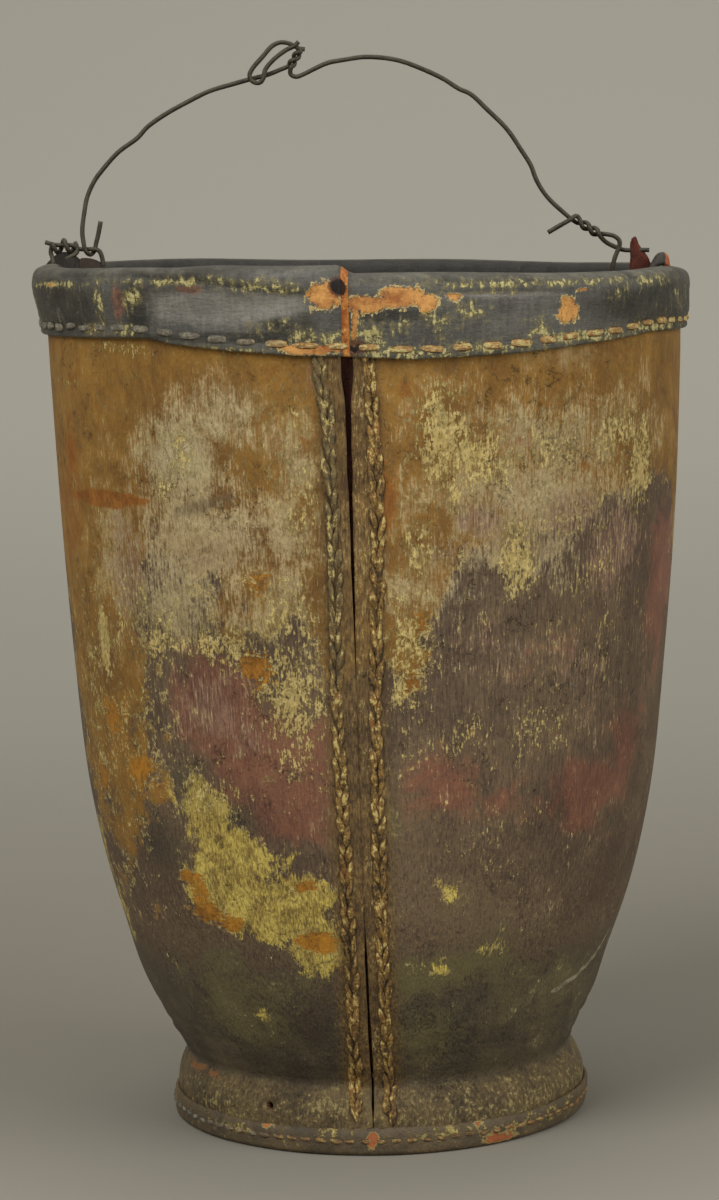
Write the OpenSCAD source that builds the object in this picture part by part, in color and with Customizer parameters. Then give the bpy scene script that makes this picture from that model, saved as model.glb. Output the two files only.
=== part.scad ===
// Leather fire bucket with a rolled rim, a butt seam, a waisted foot and a swinging wire bail.
// The origin is the centre of the foot on the ground, +Z is up and the seam faces -Y.

/* [Body] */
// Height from the ground to the top of the rolled rim
bucket_h = 296; // [260:1:330]
// Outer diameter of the leather body just under the rim band
body_top_d = 218.8; // [190:0.2:250]
// Outer diameter at the waist above the foot
waist_d = 135; // [115:0.5:150]
// Height of the waist above the ground
waist_z = 23; // [17:0.5:28]
// Thickness of the body leather
wall = 4.5; // [3:0.1:6]

/* [Foot] */
// Outer diameter of the flared foot, without its binding
foot_d = 142.4; // [124:0.2:156]
// Height of the strip that binds the lower edge of the foot
binding_h = 9; // [6:0.5:12]
// Thickness of the binding strip
binding_t = 1.3; // [0.8:0.1:2]
// Thickness of the bottom disc and its flange
pan_t = 3.5; // [2.5:0.1:5]
// Length of one running stitch round the foot
foot_stitch = 4.3; // [3:0.1:6]
// Number of running stitches round the foot
foot_stitch_count = 88; // [60:1:100]
// Diameter of the small nail hole in the foot
nail_hole_d = 2.8; // [1:0.1:4]

/* [Rim] */
// Radius of the roll round the top edge, over the leather
roll_r = 7; // [6:0.1:9]
// Thickness of the band leather
band_t = 2.2; // [1.4:0.1:2.8]
// Height of the band from its lower edge to the top of the rim
band_h = 23; // [20:0.5:34]
// Depth of the hem that the band turns down inside
hem_h = 17; // [14:0.5:24]
// Width of the butt joint in the band at the front
band_gap = 2.4; // [0.6:0.1:4]
// Length of one running stitch along the band
rim_stitch = 6.8; // [4:0.1:9]
// Number of running stitches round the band
rim_stitch_count = 70; // [50:1:80]
// Height of the running stitches above the lower edge of the band
rim_stitch_up = 3.4; // [2:0.1:6]

/* [Seam] */
// Width of the open gap at the top of the butt seam
gap_top = 4.3; // [0.5:0.1:6]
// Width of the crack low in the butt seam
gap_low = 1; // [0.3:0.1:2]
// Width of the butt seam where it is closed
gap_shut = 0.3; // [0.2:0.1:0.6]
// Distance of the stitch rows from the seam at the top
row_top = 9; // [7:0.1:12]
// Distance of the stitch rows from the seam at the foot
row_foot = 5.4; // [4.5:0.1:8]
// Number of stitches in each row
seam_stitch_count = 40; // [30:1:44]
// Diameter of the seam thread
seam_thread_d = 2.4; // [1.6:0.1:3]
// Slant of the seam stitches
seam_slant = 14; // [0:1:25]
// Width of the backing strip behind the seam
backing_w = 27; // [22:0.5:40]
// Thickness of the backing strip
backing_t = 2.4; // [1.5:0.1:3]

/* [Ears] */
// Width of the ear straps along the rim
ear_w = 17; // [12:0.5:24]
// Thickness of one layer of ear leather
ear_t = 2.2; // [1.6:0.1:2.6]
// Depth of the ear tails below the top of the rim
ear_tail = 44; // [36:1:60]
// Height of the pointed right tab above the rim
tab_h = 9.4; // [8:0.1:14]
// Height of the dark right stub above the rim
stub_h = 4.2; // [3:0.1:6]
// Height of the left hump above the rim
hump_h = 6; // [4:0.1:6.4]

/* [Bail] */
// Diameter of the iron wire
wire_d = 1.6; // [1.2:0.1:1.8]
// Height of the left pivot above the rim
pivot_left_up = 8.5; // [8:0.1:12]
// Height of the right pivot above the rim
pivot_right_up = 3.6; // [3.4:0.1:4.4]
// Running clearance round the wire in the bores and hooks
pivot_gap = 0.3; // [0.2:0.05:0.5]
// Height of the bail's arch above the rim
arch_h = 72; // [60:1:110]

/* [Hidden] */

leather_ochre = [0.42, 0.30, 0.17];
leather_dark = [0.20, 0.20, 0.20];
leather_brown = [0.28, 0.17, 0.12];
leather_red = [0.48, 0.16, 0.09];
thread_tan = [0.66, 0.48, 0.24];
cane_tan = [0.62, 0.50, 0.32];
iron_dark = [0.22, 0.20, 0.17];

$fn = 48;
fit = 0.2;                                  // gap between pieces of leather that lie on each other
body_top_r = body_top_d / 2;
waist_r = waist_d / 2;
foot_r = foot_d / 2;
thin_thread_d = 1.5;
nail_hole_at = -119.6;
nail_hole_z = binding_h + 6;

// Rolled rim
roll_at = [body_top_r - wall / 2, bucket_h - roll_r];
band_low = bucket_h - band_h;
hem_low = bucket_h - hem_h;
hoop_r = roll_r - band_t - fit;
body_high = roll_at.y - hoop_r - 2 * fit;
roll_in = roll_at.x - roll_r;

// Smooth curve through points, with square-root spacing so that it doesn't overshoot
function mix(a, b, ta, tb, t) = (a * (tb - t) + b * (t - ta)) / (tb - ta);
function spaced(a, b) = sqrt(norm(b - a));
function curve_point(p, s) =
    let (t1 = spaced(p[0], p[1]), t2 = t1 + spaced(p[1], p[2]), t3 = t2 + spaced(p[2], p[3]))
    let (t = t1 + (t2 - t1) * s)
    let (a = mix(p[0], p[1], 0, t1, t), b = mix(p[1], p[2], t1, t2, t), c = mix(p[2], p[3], t2, t3, t))
    mix(mix(a, b, 0, t2, t), mix(b, c, t1, t3, t), t1, t2, t);
function extended(p) =
    concat([2 * p[0] - p[1]], p, [2 * p[len(p) - 1] - p[len(p) - 2]]);
function smooth(points, step) =
    let (e = extended(points))
    concat([for (i = [1 : len(e) - 3])
                let (n = max(1, round(norm(e[i + 1] - e[i]) / step)))
                for (k = [0 : n - 1]) curve_point([e[i - 1], e[i], e[i + 1], e[i + 2]], k / n)],
           [points[len(points) - 1]]);
function arc(at, r, from, to, steps) =
    [for (i = [0 : steps]) let (a = from + (to - from) * i / steps) at + r * [cos(a), sin(a)]];
function reversed(list) = [for (i = [len(list) - 1 : -1 : 0]) list[i]];

// Outline of the body from waist to rim, as shares of its height and of its widening
flank = [[0, 0], [0.036, 0.12], [0.094, 0.284], [0.168, 0.432], [0.263, 0.612],
         [0.382, 0.754], [0.56, 0.858], [0.795, 0.956], [1, 1]];
skirt_low = binding_t + fit;
flank_points = [for (f = flank) [waist_r + (body_top_r - waist_r) * f.y,
                                 waist_z + (band_low - waist_z) * f.x]];
foot_points = [[foot_r, skirt_low], [foot_r, binding_h], [(foot_r + waist_r) / 2 + 0.5, waist_z - 5]];
outline_step = 6;
body_outline = concat([[foot_r, skirt_low]],
                      smooth([foot_points[1], foot_points[2], flank_points[0]], outline_step / 2),
                      [for (p = smooth(flank_points, outline_step)) if (p.y > waist_z) p],
                      [[body_top_r, body_high]]);
radius_table = [for (p = body_outline) [p.y, p.x]];
function body_r(z) = lookup(z, radius_table);
function body_slope(z) = atan2(body_r(z + 1) - body_r(z - 1), 2);

// Closed outline of a layer that follows the body between two depths into the leather
function layer(outer_depth, inner_depth, low, high) =
    let (z = concat([low], [for (p = body_outline) if (p.y > low + 0.5 && p.y < high - 0.5) p.y], [high]))
    concat([for (h = z) [body_r(h) - outer_depth, h]],
           reversed([for (h = z) [body_r(h) - inner_depth, h]]));

// A thread that rises out of the leather along Y and dives back in, standing proud along X
module thread(length, rise, d) {
    r = (length * length / 4 + rise * rise) / (2 * rise);
    half = asin(length / 2 / r);
    translate([rise - r, 0, 0])
        rotate([0, 0, -half])
            rotate_extrude(angle = 2 * half)
                translate([r, 0])
                    circle(d = d);
}

// Solid of a profile swept round the bucket's axis, centred on an angle
module sector(middle, angle) {
    rotate([0, 0, middle - angle / 2])
        rotate_extrude(angle = angle)
            children();
}

// Wire along a path of points, as rings that are carried along without twisting
wire_sides = 8;
function unit(v) = v / norm(v);
function tangents(p) =
    [for (i = [0 : len(p) - 1]) unit(p[min(i + 1, len(p) - 1)] - p[max(i - 1, 0)])];
function across(v, t) = unit(v - (v * t) * t);
function sides(t) =
    [for (i = 0, n = across([0.3, 1, 0.2], t[0]); i < len(t);
          i = i + 1, n = across(n, t[min(i, len(t) - 1)])) n];
module wire(path, d = wire_d) {
    t = tangents(path);
    n = sides(t);
    count = len(path);
    rings = [for (i = [0 : count - 1])
                 for (k = [0 : wire_sides - 1])
                     let (a = 360 * k / wire_sides)
                     path[i] + d / 2 * (cos(a) * n[i] + sin(a) * cross(t[i], n[i]))];
    ends = [path[0], path[count - 1]];
    function at(i, k) = i * wire_sides + k % wire_sides;
    walls = [for (i = [0 : count - 2])
                 for (k = [0 : wire_sides - 1])
                     for (f = [[at(i, k), at(i + 1, k), at(i, k + 1)],
                               [at(i, k + 1), at(i + 1, k), at(i + 1, k + 1)]]) f];
    first = count * wire_sides;
    caps = [for (k = [0 : wire_sides - 1])
                for (f = [[first, at(0, k), at(0, k + 1)],
                          [first + 1, at(count - 1, k + 1), at(count - 1, k)]]) f];
    polyhedron(points = concat(rings, ends), faces = concat(walls, caps));
}

// Body of wrapped leather, cut through at the butt seam
slit_points = [[skirt_low - 1, gap_shut], [waist_z, gap_shut], [waist_z + 14, gap_low],
               [waist_z + 34, gap_shut], [bucket_h * 0.62, gap_shut],
               [bucket_h * 0.76, gap_top * 0.3], [band_low - 3, gap_top], [bucket_h, gap_top]];
module body_shell() {
    color(leather_ochre)
        difference() {
            rotate_extrude()
                polygon(layer(0, wall, skirt_low, body_high));
            rotate([90, 0, 0])
                linear_extrude(body_top_d)
                    polygon(concat([for (p = slit_points) [p.y / 2, p.x]],
                                   reversed([for (p = slit_points) [-p.y / 2, p.x]])));
            rotate([0, 0, nail_hole_at])
                translate([body_r(nail_hole_z) - 2 * wall, 0, nail_hole_z])
                    rotate([0, 90, 0])
                        cylinder(d = nail_hole_d, h = 3 * wall);
        }
}

module seam_backing() {
    color(leather_brown)
        sector(-90, backing_w / body_top_r * 180 / PI)
            polygon(layer(wall + fit, wall + fit + backing_t, waist_z + pan_t, hem_low - 1));
}

// Row of slanted stitches beside the seam
seam_low = binding_h + 3;
seam_high = band_low - 4;
seam_pitch = (seam_high - seam_low) / seam_stitch_count;
module seam_stitch_row(side) {
    for (i = [0 : seam_stitch_count - 1]) {
        z = seam_low + (i + 0.5) * seam_pitch;
        r = body_r(z);
        off = row_foot + (row_top - row_foot) * (z - seam_low) / (seam_high - seam_low);
        rotate([0, 0, -90 + side * asin(off / r)])
            translate([r, 0, z])
                rotate([side * seam_slant, body_slope(z), 0])
                    rotate([90, 0, 0])
                        thread(seam_pitch * 1.06, seam_thread_d * 0.35, seam_thread_d);
    }
}

module seam_stitches_left() {
    color(thread_tan) seam_stitch_row(-1);
}

module seam_stitches_right() {
    color(thread_tan) seam_stitch_row(1);
}

// Band folded over the hoop, with a hem inside
band_lip_r = body_r(band_low) + fit;
hem_r = body_top_r - wall - fit;
gap_angle = band_gap / body_top_r * 180 / PI;
module folded_band(t) {
    lean = 10;
    roll = roll_r - band_t + t;
    outer = arc(roll_at, roll, -lean, 180 + lean, 20);
    inner = arc(roll_at, roll_r - band_t, 180 + lean, -lean, 20);
    outside = [[band_lip_r, band_low], [band_lip_r + t, band_low]];
    within = [[hem_r - t, hem_low], [hem_r, hem_low]];
    polygon(concat(outside, outer, within, inner));
}

module rim_band() {
    color(leather_dark)
        sector(90, 360 - gap_angle)
            folded_band(band_t);
}

// Bare leather that shows in the butt joint of the band
module band_joint_strip() {
    color(leather_red)
        sector(-90, gap_angle * 0.84)
            folded_band(band_t * 0.7);
}

module rim_hoop() {
    color(cane_tan)
        rotate_extrude()
            translate(roll_at)
                circle(r = hoop_r);
}

module rim_stitches() {
    z = band_low + rim_stitch_up;
    lean = (roll_at.x + roll_r - band_lip_r - band_t) / (roll_at.y - band_low);
    r = band_lip_r + band_t + lean * rim_stitch_up;
    color(thread_tan)
        for (i = [0 : rim_stitch_count - 1])
            rotate([0, 0, -90 + (i + 0.5) * 360 / rim_stitch_count])
                translate([r, 0, z])
                    thread(rim_stitch, thin_thread_d * 0.4, thin_thread_d);
}

// Bottom disc with a flange that turns down inside the foot
pan_top = waist_z + pan_t / 2;
module bottom_pan() {
    depth = wall + fit;
    z = [for (p = body_outline) if (p.y > skirt_low + 0.5 && p.y < pan_top - 0.5) p.y];
    flange = concat([skirt_low], z, [pan_top]);
    outer = [for (h = flange) [min(body_r(h), body_r(waist_z) + waist_z - h + pan_t / 2) - depth, h]];
    inner = [for (h = concat([skirt_low], [for (h = z) if (h < pan_top - pan_t) h]))
                 [body_r(h) - depth - pan_t, h]];
    color(leather_brown)
        rotate_extrude()
            polygon(concat([[0, pan_top - pan_t], [waist_r - depth - pan_t - 2, pan_top - pan_t]],
                           reversed(inner), outer, [[0, pan_top]]));
}

// Strip folded round the lower edge of the foot
module foot_binding() {
    wrapped_in = foot_r - wall - fit - pan_t;
    outer_r = foot_r + fit + binding_t;
    inner_r = wrapped_in - fit - binding_t;
    bevel = binding_t;
    color(leather_dark)
        rotate_extrude()
            polygon([[inner_r, bevel], [inner_r + bevel, 0], [outer_r - bevel, 0], [outer_r, bevel],
                     [outer_r, binding_h - bevel / 2], [outer_r - bevel / 2, binding_h],
                     [foot_r + fit, binding_h], [foot_r + fit, binding_t],
                     [wrapped_in - fit, binding_t], [wrapped_in - fit, binding_h - 1],
                     [inner_r, binding_h - 1]]);
}

module foot_stitches() {
    color(thread_tan)
        for (i = [0 : foot_stitch_count - 1])
            rotate([0, 0, -90 + (i + 0.5) * 360 / foot_stitch_count])
                translate([foot_r + fit + binding_t, 0, binding_h * 0.55])
                    thread(foot_stitch, thin_thread_d * 0.35, thin_thread_d);
}

// Ears: two layers of strap on the inner wall that rise over the roll
ear_angle = ear_w / body_top_r * 180 / PI;
ear_low = bucket_h - ear_tail;
depth_1 = wall + fit;                       // depth of the first layer's outer face on the wall
depth_2 = depth_1 + ear_t + fit;            // depth of the second layer's outer face
depth_3 = depth_2 + ear_t;                  // depth of its inner face
over_1 = roll_r + fit;                      // radius round the roll under the first layer
over_2 = over_1 + ear_t * 0.8;              // radius over the first layer
hem_clear = 2.55 + band_t - 2.2;            // how far the hem pushes the tails inwards
tail_bend = hem_low - 3;                    // height at which the tails leave the wall
under_from = 190;                           // angle on the roll at which the tails meet it
rim_k = roll_r / 7;                         // the ears' shapes are drawn for a roll of 7 mm radius
function on_rim(x, z) = [roll_in + x * rim_k, bucket_h + z * rim_k];
function left_rim(x, z) = [-on_rim(x, z).x, 0, on_rim(x, z).y];
function tail_up(depth) =                   // face of a tail, from its lower end up to the roll
    [[body_r(ear_low) - depth, ear_low], [body_r(tail_bend) - depth, tail_bend],
     [body_r(tail_bend) - depth - hem_clear, hem_low + 0.6]];

module left_ear_outer() {
    under = arc(roll_at, over_1, under_from, 52, 24);
    hump = [0, hump_h];
    over = [on_rim(11.6, -0.4), on_rim(10, -2.6) + hump, on_rim(7.4, -0.4) + hump, on_rim(3.6, 0) + hump,
            on_rim(-1.6, 4.2), on_rim(-4, -2)];
    color(leather_dark)
        sector(180, ear_angle)
            polygon(concat(tail_up(depth_1), under, over,
                           reversed(tail_up(depth_1 + ear_t))));
}

module left_ear_inner() {
    color(leather_brown)
        sector(180, ear_angle * 0.86)
            polygon(concat(tail_up(depth_2), [on_rim(-4, -2) - [fit, 0], on_rim(-2.6, 3.2), on_rim(-4.6, 4.3),
                                              on_rim(-7.4, 3), on_rim(-8, -1)],
                           reversed(tail_up(depth_3))));
}

module right_ear_outer() {
    under = arc(roll_at, over_1, under_from, 76, 20);
    torn = [0, stub_h];
    stub = [on_rim(8.9, 1.4), on_rim(7.9, -0.6) + torn, on_rim(5.8, 0) + torn, on_rim(4, -0.8) + torn,
            on_rim(3.1, 1.8)];
    over = arc(roll_at, over_2, 118, under_from, 12);
    color(leather_dark)
        sector(0, ear_angle)
            polygon(concat(tail_up(depth_1), under, stub, over,
                           reversed(tail_up(depth_1 + ear_t))));
}

// Hinge axis through both pivots, which lie at slightly different heights
pivot_left = [left_rim(-5.4, 0).x, 0, bucket_h + pivot_left_up];
pivot_right = [on_rim(-4.6, 0).x, 0, bucket_h + pivot_right_up];
axis_way = unit(pivot_right - pivot_left);
axis_tilt = atan2(pivot_left.z - pivot_right.z, pivot_right.x - pivot_left.x);
function on_axis(x) = pivot_left + axis_way * (x - pivot_left.x) / axis_way.x;
module pin(from, to, d) {
    translate(on_axis(from))
        rotate([0, 90 + axis_tilt, 0])
            cylinder(d = d, h = (to - from) / axis_way.x);
}

module right_ear_inner() {
    under = arc(roll_at, over_2 + fit, under_from, 146, 8);
    tip = on_rim(-3.9, 0) + [0, tab_h];
    tab = [on_rim(-1.2, 1.2), on_rim(-2.3, 4.4), tip, on_rim(-5.4, 6.6), on_rim(-6.7, 4), on_rim(-6.4, 0)];
    color(leather_red)
        difference() {
            intersection() {
                sector(0, ear_angle * 0.8)
                    polygon(concat(tail_up(depth_2), under, tab,
                                   reversed(tail_up(depth_3))));
                translate([roll_in - ear_w, 0, 0])
                    rotate([90, 0, 90])
                        linear_extrude(2 * ear_w)
                            polygon([[-ear_w, 0], [ear_w, 0], [ear_w * 0.4, bucket_h],
                                     [ear_w * 0.34, on_rim(0, 4).y], [ear_w * 0.1, tip.y],
                                     [-ear_w * 0.04, on_rim(0, 1).y + tab_h],
                                     [-ear_w * 0.3, on_rim(0, 5).y], [-ear_w * 0.4, bucket_h]]);
            }
            pin(roll_in - 15, roll_in + 5, wire_d + 2 * pivot_gap);
        }
}

// Stitches through the tails of an ear, as two short columns on its inner face
ear_stitch = 4.2;
module ear_stitch_columns(middle) {
    for (side = [-1, 1])
        for (z = [for (i = [0 : 2]) ear_low + ear_stitch * (1 + 1.2 * i)])
            rotate([0, 0, middle + side * ear_angle / 3])
                translate([body_r(z) - depth_3, 0, z])
                    rotate([90, 0, 180])
                        thread(ear_stitch, thin_thread_d * 0.4, thin_thread_d);
}

module left_ear_stitches() {
    color(thread_tan) ear_stitch_columns(180);
}

module right_ear_stitches() {
    color(thread_tan) ear_stitch_columns(0);
}

// Left ear wire: it rises from the inner layer, forms the pivot and ends outside the rim
ring_step = 1.6;
pivot_reach = 3.4;
coil_z = on_rim(0, 11).y;
coil_from = on_rim(5.8, 0).x;
coil_to = on_rim(-0.8, 0).x;
module left_ear_wire() {
    p = pivot_left;
    inner_end = p + [pivot_reach, 0, 0];
    outer_end = on_axis(p.x - pivot_reach);
    rise = [left_rim(-6.4, -9), left_rim(-9.4, -3), left_rim(-10.2, 4.6), [inner_end.x + 0.9, 0, on_axis(inner_end.x).z - 0.6],
            on_axis(inner_end.x - 0.6)];
    reach = [on_axis(p.x - pivot_reach + 0.6), outer_end + [-0.7, 0, 0.4], [-coil_to + 0.4, 0, coil_z - 0.4],
             [-coil_to - 2, 0, coil_z], [-coil_from, 0, coil_z], left_rim(8.8, 12.7)];
    color(iron_dark) {
        wire(smooth(rise, ring_step), wire_d * 0.98);
        pin(p.x - pivot_reach, inner_end.x, wire_d);
        wire(smooth(reach, ring_step), wire_d * 0.98);
    }
}

// Lashing: loops round the ear wire, with both ends turned down into the ear
lash_turns = 3;
lash_rings = 24;
lash_gap = 0.45;
lash_pitch = wire_d + lash_gap;
lash_r = wire_d + pivot_gap;
lash_mid = -(coil_from + coil_to) / 2;
lash_coil = [for (i = [0 : lash_turns * lash_rings])
                 let (a = 90 + 360 * i / lash_rings)
                 [lash_mid + lash_pitch * (i / lash_rings - lash_turns / 2),
                  lash_r * cos(a), coil_z + lash_r * sin(a)]];
module left_ear_lashing() {
    first = lash_coil[0];
    last = lash_coil[len(lash_coil) - 1];
    foot = bucket_h + hump_h - 2;
    start = [[lash_mid - 2.6, 2.2, foot], [first.x - 0.6, 2.6, coil_z - 2], [first.x - 0.2, 2.3, coil_z + 0.6]];
    finish = [[last.x + 0.2, -2.3, coil_z + 0.6], [last.x + 0.4, -2.6, coil_z - 2], [lash_mid + 2.4, -2.2, foot]];
    color(iron_dark)
        wire(concat(smooth(concat(start, [first]), ring_step),
                    [for (i = [1 : len(lash_coil) - 2]) lash_coil[i]],
                    smooth(concat([last], finish), ring_step)));
}
coil_apart = [for (i = [0 : len(lash_coil) - 1])
                  for (k = [i + lash_rings / 2 : len(lash_coil) - 1])
                      norm(lash_coil[i] - lash_coil[k])];
echo(least_gap_in_the_lashing = min(coil_apart) - wire_d);

// Two strands twisted round the line from a to b, as points of one of them
function twisted(a, b, turns, r, phase, n) =
    let (along = unit(b - a), side = [0, -1, 0], up = cross(side, along))
    [for (i = [0 : n])
         let (w = phase + 360 * turns * i / n)
         a + (b - a) * i / n + r * (cos(w) * up + sin(w) * side)];

// The bail's wires are drawn for this inner radius and arch height, and follow the rim's span and the arch
drawn_in = 100.15;
drawn_arch = 72;
span_k = roll_in / drawn_in;
arch_k = arch_h / drawn_arch;
function up(x, z) = [x * span_k, 0, bucket_h + z * arch_k];
strand_r = wire_d * 0.56;                   // radius of the tight twist at the top
loose_r = wire_d * 0.68;                    // radius of the loose twist on the right
hook_r = wire_d + pivot_gap;
stalk = [up(-23.4, 69.2), up(-19.4, 75.4)];
module bail_left_wire() {
    hook_x = [pivot_left.x + 1.6, pivot_left.x - 1.6];
    hook = [for (i = [0 : 8])
                let (a = 180 * i / 8, x = hook_x[0] + (hook_x[1] - hook_x[0]) * i / 8)
                on_axis(x) + hook_r * [0, cos(a), -sin(a)]];
    tail = [[hook_x[0] + 2.2, hook_r, bucket_h + 18], [hook_x[0] + 1.2, hook_r, bucket_h + 13.4],
            [hook_x[0] + 0.2, hook_r, on_axis(hook_x[0]).z + 1.3]];
    leg = [[hook_x[1] - 0.2, -hook_r, on_axis(hook_x[1]).z + 1.3], [hook_x[1] - 0.7, -1.4, bucket_h + 14.6],
           [hook_x[1] + 0.1, -0.7, bucket_h + 21], [hook_x[1] + 1.4, 0, bucket_h + 26.9]];
    arch = [up(-92.2, 32.3), up(-89.5, 35.7), up(-83.7, 41.7), up(-76.9, 46.4), up(-73.4, 50),
            up(-67.4, 54), up(-59.3, 58.2), up(-51.3, 61.8), up(-43.3, 64) + [0, 0.8, 0],
            up(-37.4, 65.5) + [0, 1.3, 0], up(-31.6, 66.8) + [0, 1.3, 0], up(-27, 68.4) + [0, 1.1, 0]];
    twist = twisted(stalk[0], stalk[1], 1.25, strand_r, 270, 14);
    nub = [stalk[1] + [1.3, 0.2, -0.2]];
    color(iron_dark)
        wire(concat(smooth(concat(tail, hook, leg, arch, [twist[1]]), ring_step * 1.4),
                    [for (i = [2 : 12]) twist[i]], smooth([twist[13], nub[0]], ring_step)));
}

// The twist on the right, where the strand that ends in the ear is wound on the bail wire
right_twist = [[74.6, 0, 310.2 - 296], [82.6, 0, 305 - 296]];
function low(p) = [p.x * span_k, p.y, bucket_h + p.z];
tw_a = low(right_twist[0]);
tw_b = low(right_twist[1]);
module bail_right_wire() {
    nub = [stalk[1] + [-0.6, -1.2, 2.4], stalk[1] + [-2, -1.2, 1]];
    eye = [up(-24.3, 75.1), up(-28.6, 72.1), up(-31.8, 68.5), up(-32.4, 66), up(-33.8, 64.2),
           up(-36.2, 64.6), up(-37.3, 66.6), up(-36.4, 68.8), up(-32.7, 72.9), up(-29.1, 76.6),
           up(-26.3, 77.7), up(-23.2, 77.2)];
    twist = reversed(twisted(stalk[0], stalk[1], 1.25, strand_r, 90, 14));
    arch = [up(-23.2, 66.9), up(-21.4, 65.9), up(-18.4, 66.8), up(-15.6, 68.1), up(-10.3, 70.3),
            up(-4.8, 71.2), up(3.1, 72), up(13.5, 70.7), up(22.3, 67.4), up(29.5, 63.8), up(34.6, 60.4),
            up(38.7, 58.4), up(44.4, 52.9), up(50.9, 46.2), up(55.9, 38.6), up(58.9, 33.6),
            low([60.8, 0, 28.4]), low([63.9, 0, 23.2]), low([68.7, 0, 18.2])];
    pair = twisted(tw_a, tw_b, 1.3, loose_r, 200, 16);
    past = [low([85, -1.2, 9.2]), low([87.2, -1.7, 8.6]), low([88.9, -1.9, 7]), low([88.8, -1.9, 4.8]),
            low([87.9, -1.9, 2.8]), low([86.9, -1.8, 0]), low([86.4, -1.6, -3.4]), low([87, -1.4, -7])];
    color(iron_dark)
        wire(concat(smooth(concat(nub, [for (p = eye) p + [0, -0.95, 0]]), ring_step),
                    [for (i = [1 : 12]) twist[i]],
                    smooth(concat([twist[13]], arch, [pair[1]]), ring_step * 1.4),
                    [for (i = [2 : 14]) pair[i]], smooth(concat([pair[15]], past), ring_step)));
}

module bail_right_strand() {
    pair = twisted(tw_a, tw_b, 1.3, loose_r, 20, 16);
    tail = [low([64.4, -1.8, 10.4]), low([68.4, -1.9, 12.6]), low([72.1, -1.9, 14.6]), low([74.3, -1.2, 15.9])];
    pin_from = roll_in - 10;
    into = [low([84.3, 0.2, 6.6]), on_axis(pin_from - 1.6) + [0, 0, 0.6], on_axis(pin_from + 0.4),
            on_axis(pin_from + 1)];
    color(iron_dark) {
        wire(concat(smooth(concat(tail, [pair[1]]), ring_step), [for (i = [2 : 14]) pair[i]],
                    smooth(concat([pair[15]], into), ring_step)), wire_d * 0.98);
        pin(pin_from, roll_in + 1.8, wire_d);
    }
}

body_shell();
seam_backing();
seam_stitches_left();
seam_stitches_right();
rim_band();
band_joint_strip();
rim_hoop();
rim_stitches();
bottom_pan();
foot_binding();
foot_stitches();
left_ear_outer();
left_ear_inner();
left_ear_stitches();
left_ear_wire();
left_ear_lashing();
right_ear_outer();
right_ear_inner();
right_ear_stitches();
bail_left_wire();
bail_right_wire();
bail_right_strand();
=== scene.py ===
# Looks of an old leather fire bucket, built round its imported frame. Sizes are in millimetres unless stated.
import math

import bmesh
import bpy
import numpy as np
from mathutils import Matrix, Vector


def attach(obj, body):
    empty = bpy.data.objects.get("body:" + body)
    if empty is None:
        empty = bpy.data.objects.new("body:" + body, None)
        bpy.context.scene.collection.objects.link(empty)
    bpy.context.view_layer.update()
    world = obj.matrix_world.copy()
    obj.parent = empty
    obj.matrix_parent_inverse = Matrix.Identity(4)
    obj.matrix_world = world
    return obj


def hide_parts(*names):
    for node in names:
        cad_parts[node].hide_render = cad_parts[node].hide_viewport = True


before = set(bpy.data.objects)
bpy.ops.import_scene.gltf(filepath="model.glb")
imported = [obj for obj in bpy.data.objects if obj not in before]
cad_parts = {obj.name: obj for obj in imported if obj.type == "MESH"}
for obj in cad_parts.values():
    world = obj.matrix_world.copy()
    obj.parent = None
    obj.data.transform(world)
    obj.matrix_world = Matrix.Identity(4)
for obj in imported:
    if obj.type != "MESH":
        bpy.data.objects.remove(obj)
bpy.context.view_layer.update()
mm = 0.001

# Body: one thick hide wrapped round until its edges butt at the front, drawn in at a waist and flared to a
# foot. It is oak-bark leather under ochre and cream paint and a dark brown coat, both rubbed through.
# The butt gapes where the seam has pulled at the top, and again above the foot.
wall = 4.5
body_top = 284.0
waist = (67.5, 23.2)
foot_outline = [(71.2, 1.5), (71.3, 9.0), (71.2, 13.5), (70.0, 18.5), waist]
belly_outline = [waist, (72.5, 32.0), (79.4, 46.5), (85.9, 64.5), (93.2, 88.7), (99.1, 118.3), (103.4, 162.6),
                 (107.5, 221.7), (109.4, 272.0), (109.4, body_top)]
gape = [(1.5, 0.2), (13, 0.3), (18, 0.9), (45, 1.0), (68, 0.9), (84, 0.2), (92, 0.06), (164, 0.06),
        (174, 0.3), (188, 0.7), (210, 1.1), (238, 1.6), (254, 2.3), (270, 3.9), (body_top, 4.3)]
row_left = [(12, -5.6), (20, -5.8), (66, -5.1), (110, -5.5), (155, -6.6), (208, -5.7), (246, -6.4),
            (258, -7.8), (272, -9.6)]
row_right = [(12, 5.3), (20, 5.4), (58, 5.5), (110, 5.6), (158, 5.9), (215, 8.4), (240, 8.2), (270, 7.0)]
stitch_pitch = 6.5
mouth_level, mouth_lean, mouth_twist, mouth_crown = 0.5, 2.2, 0.9, 2.6


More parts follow.
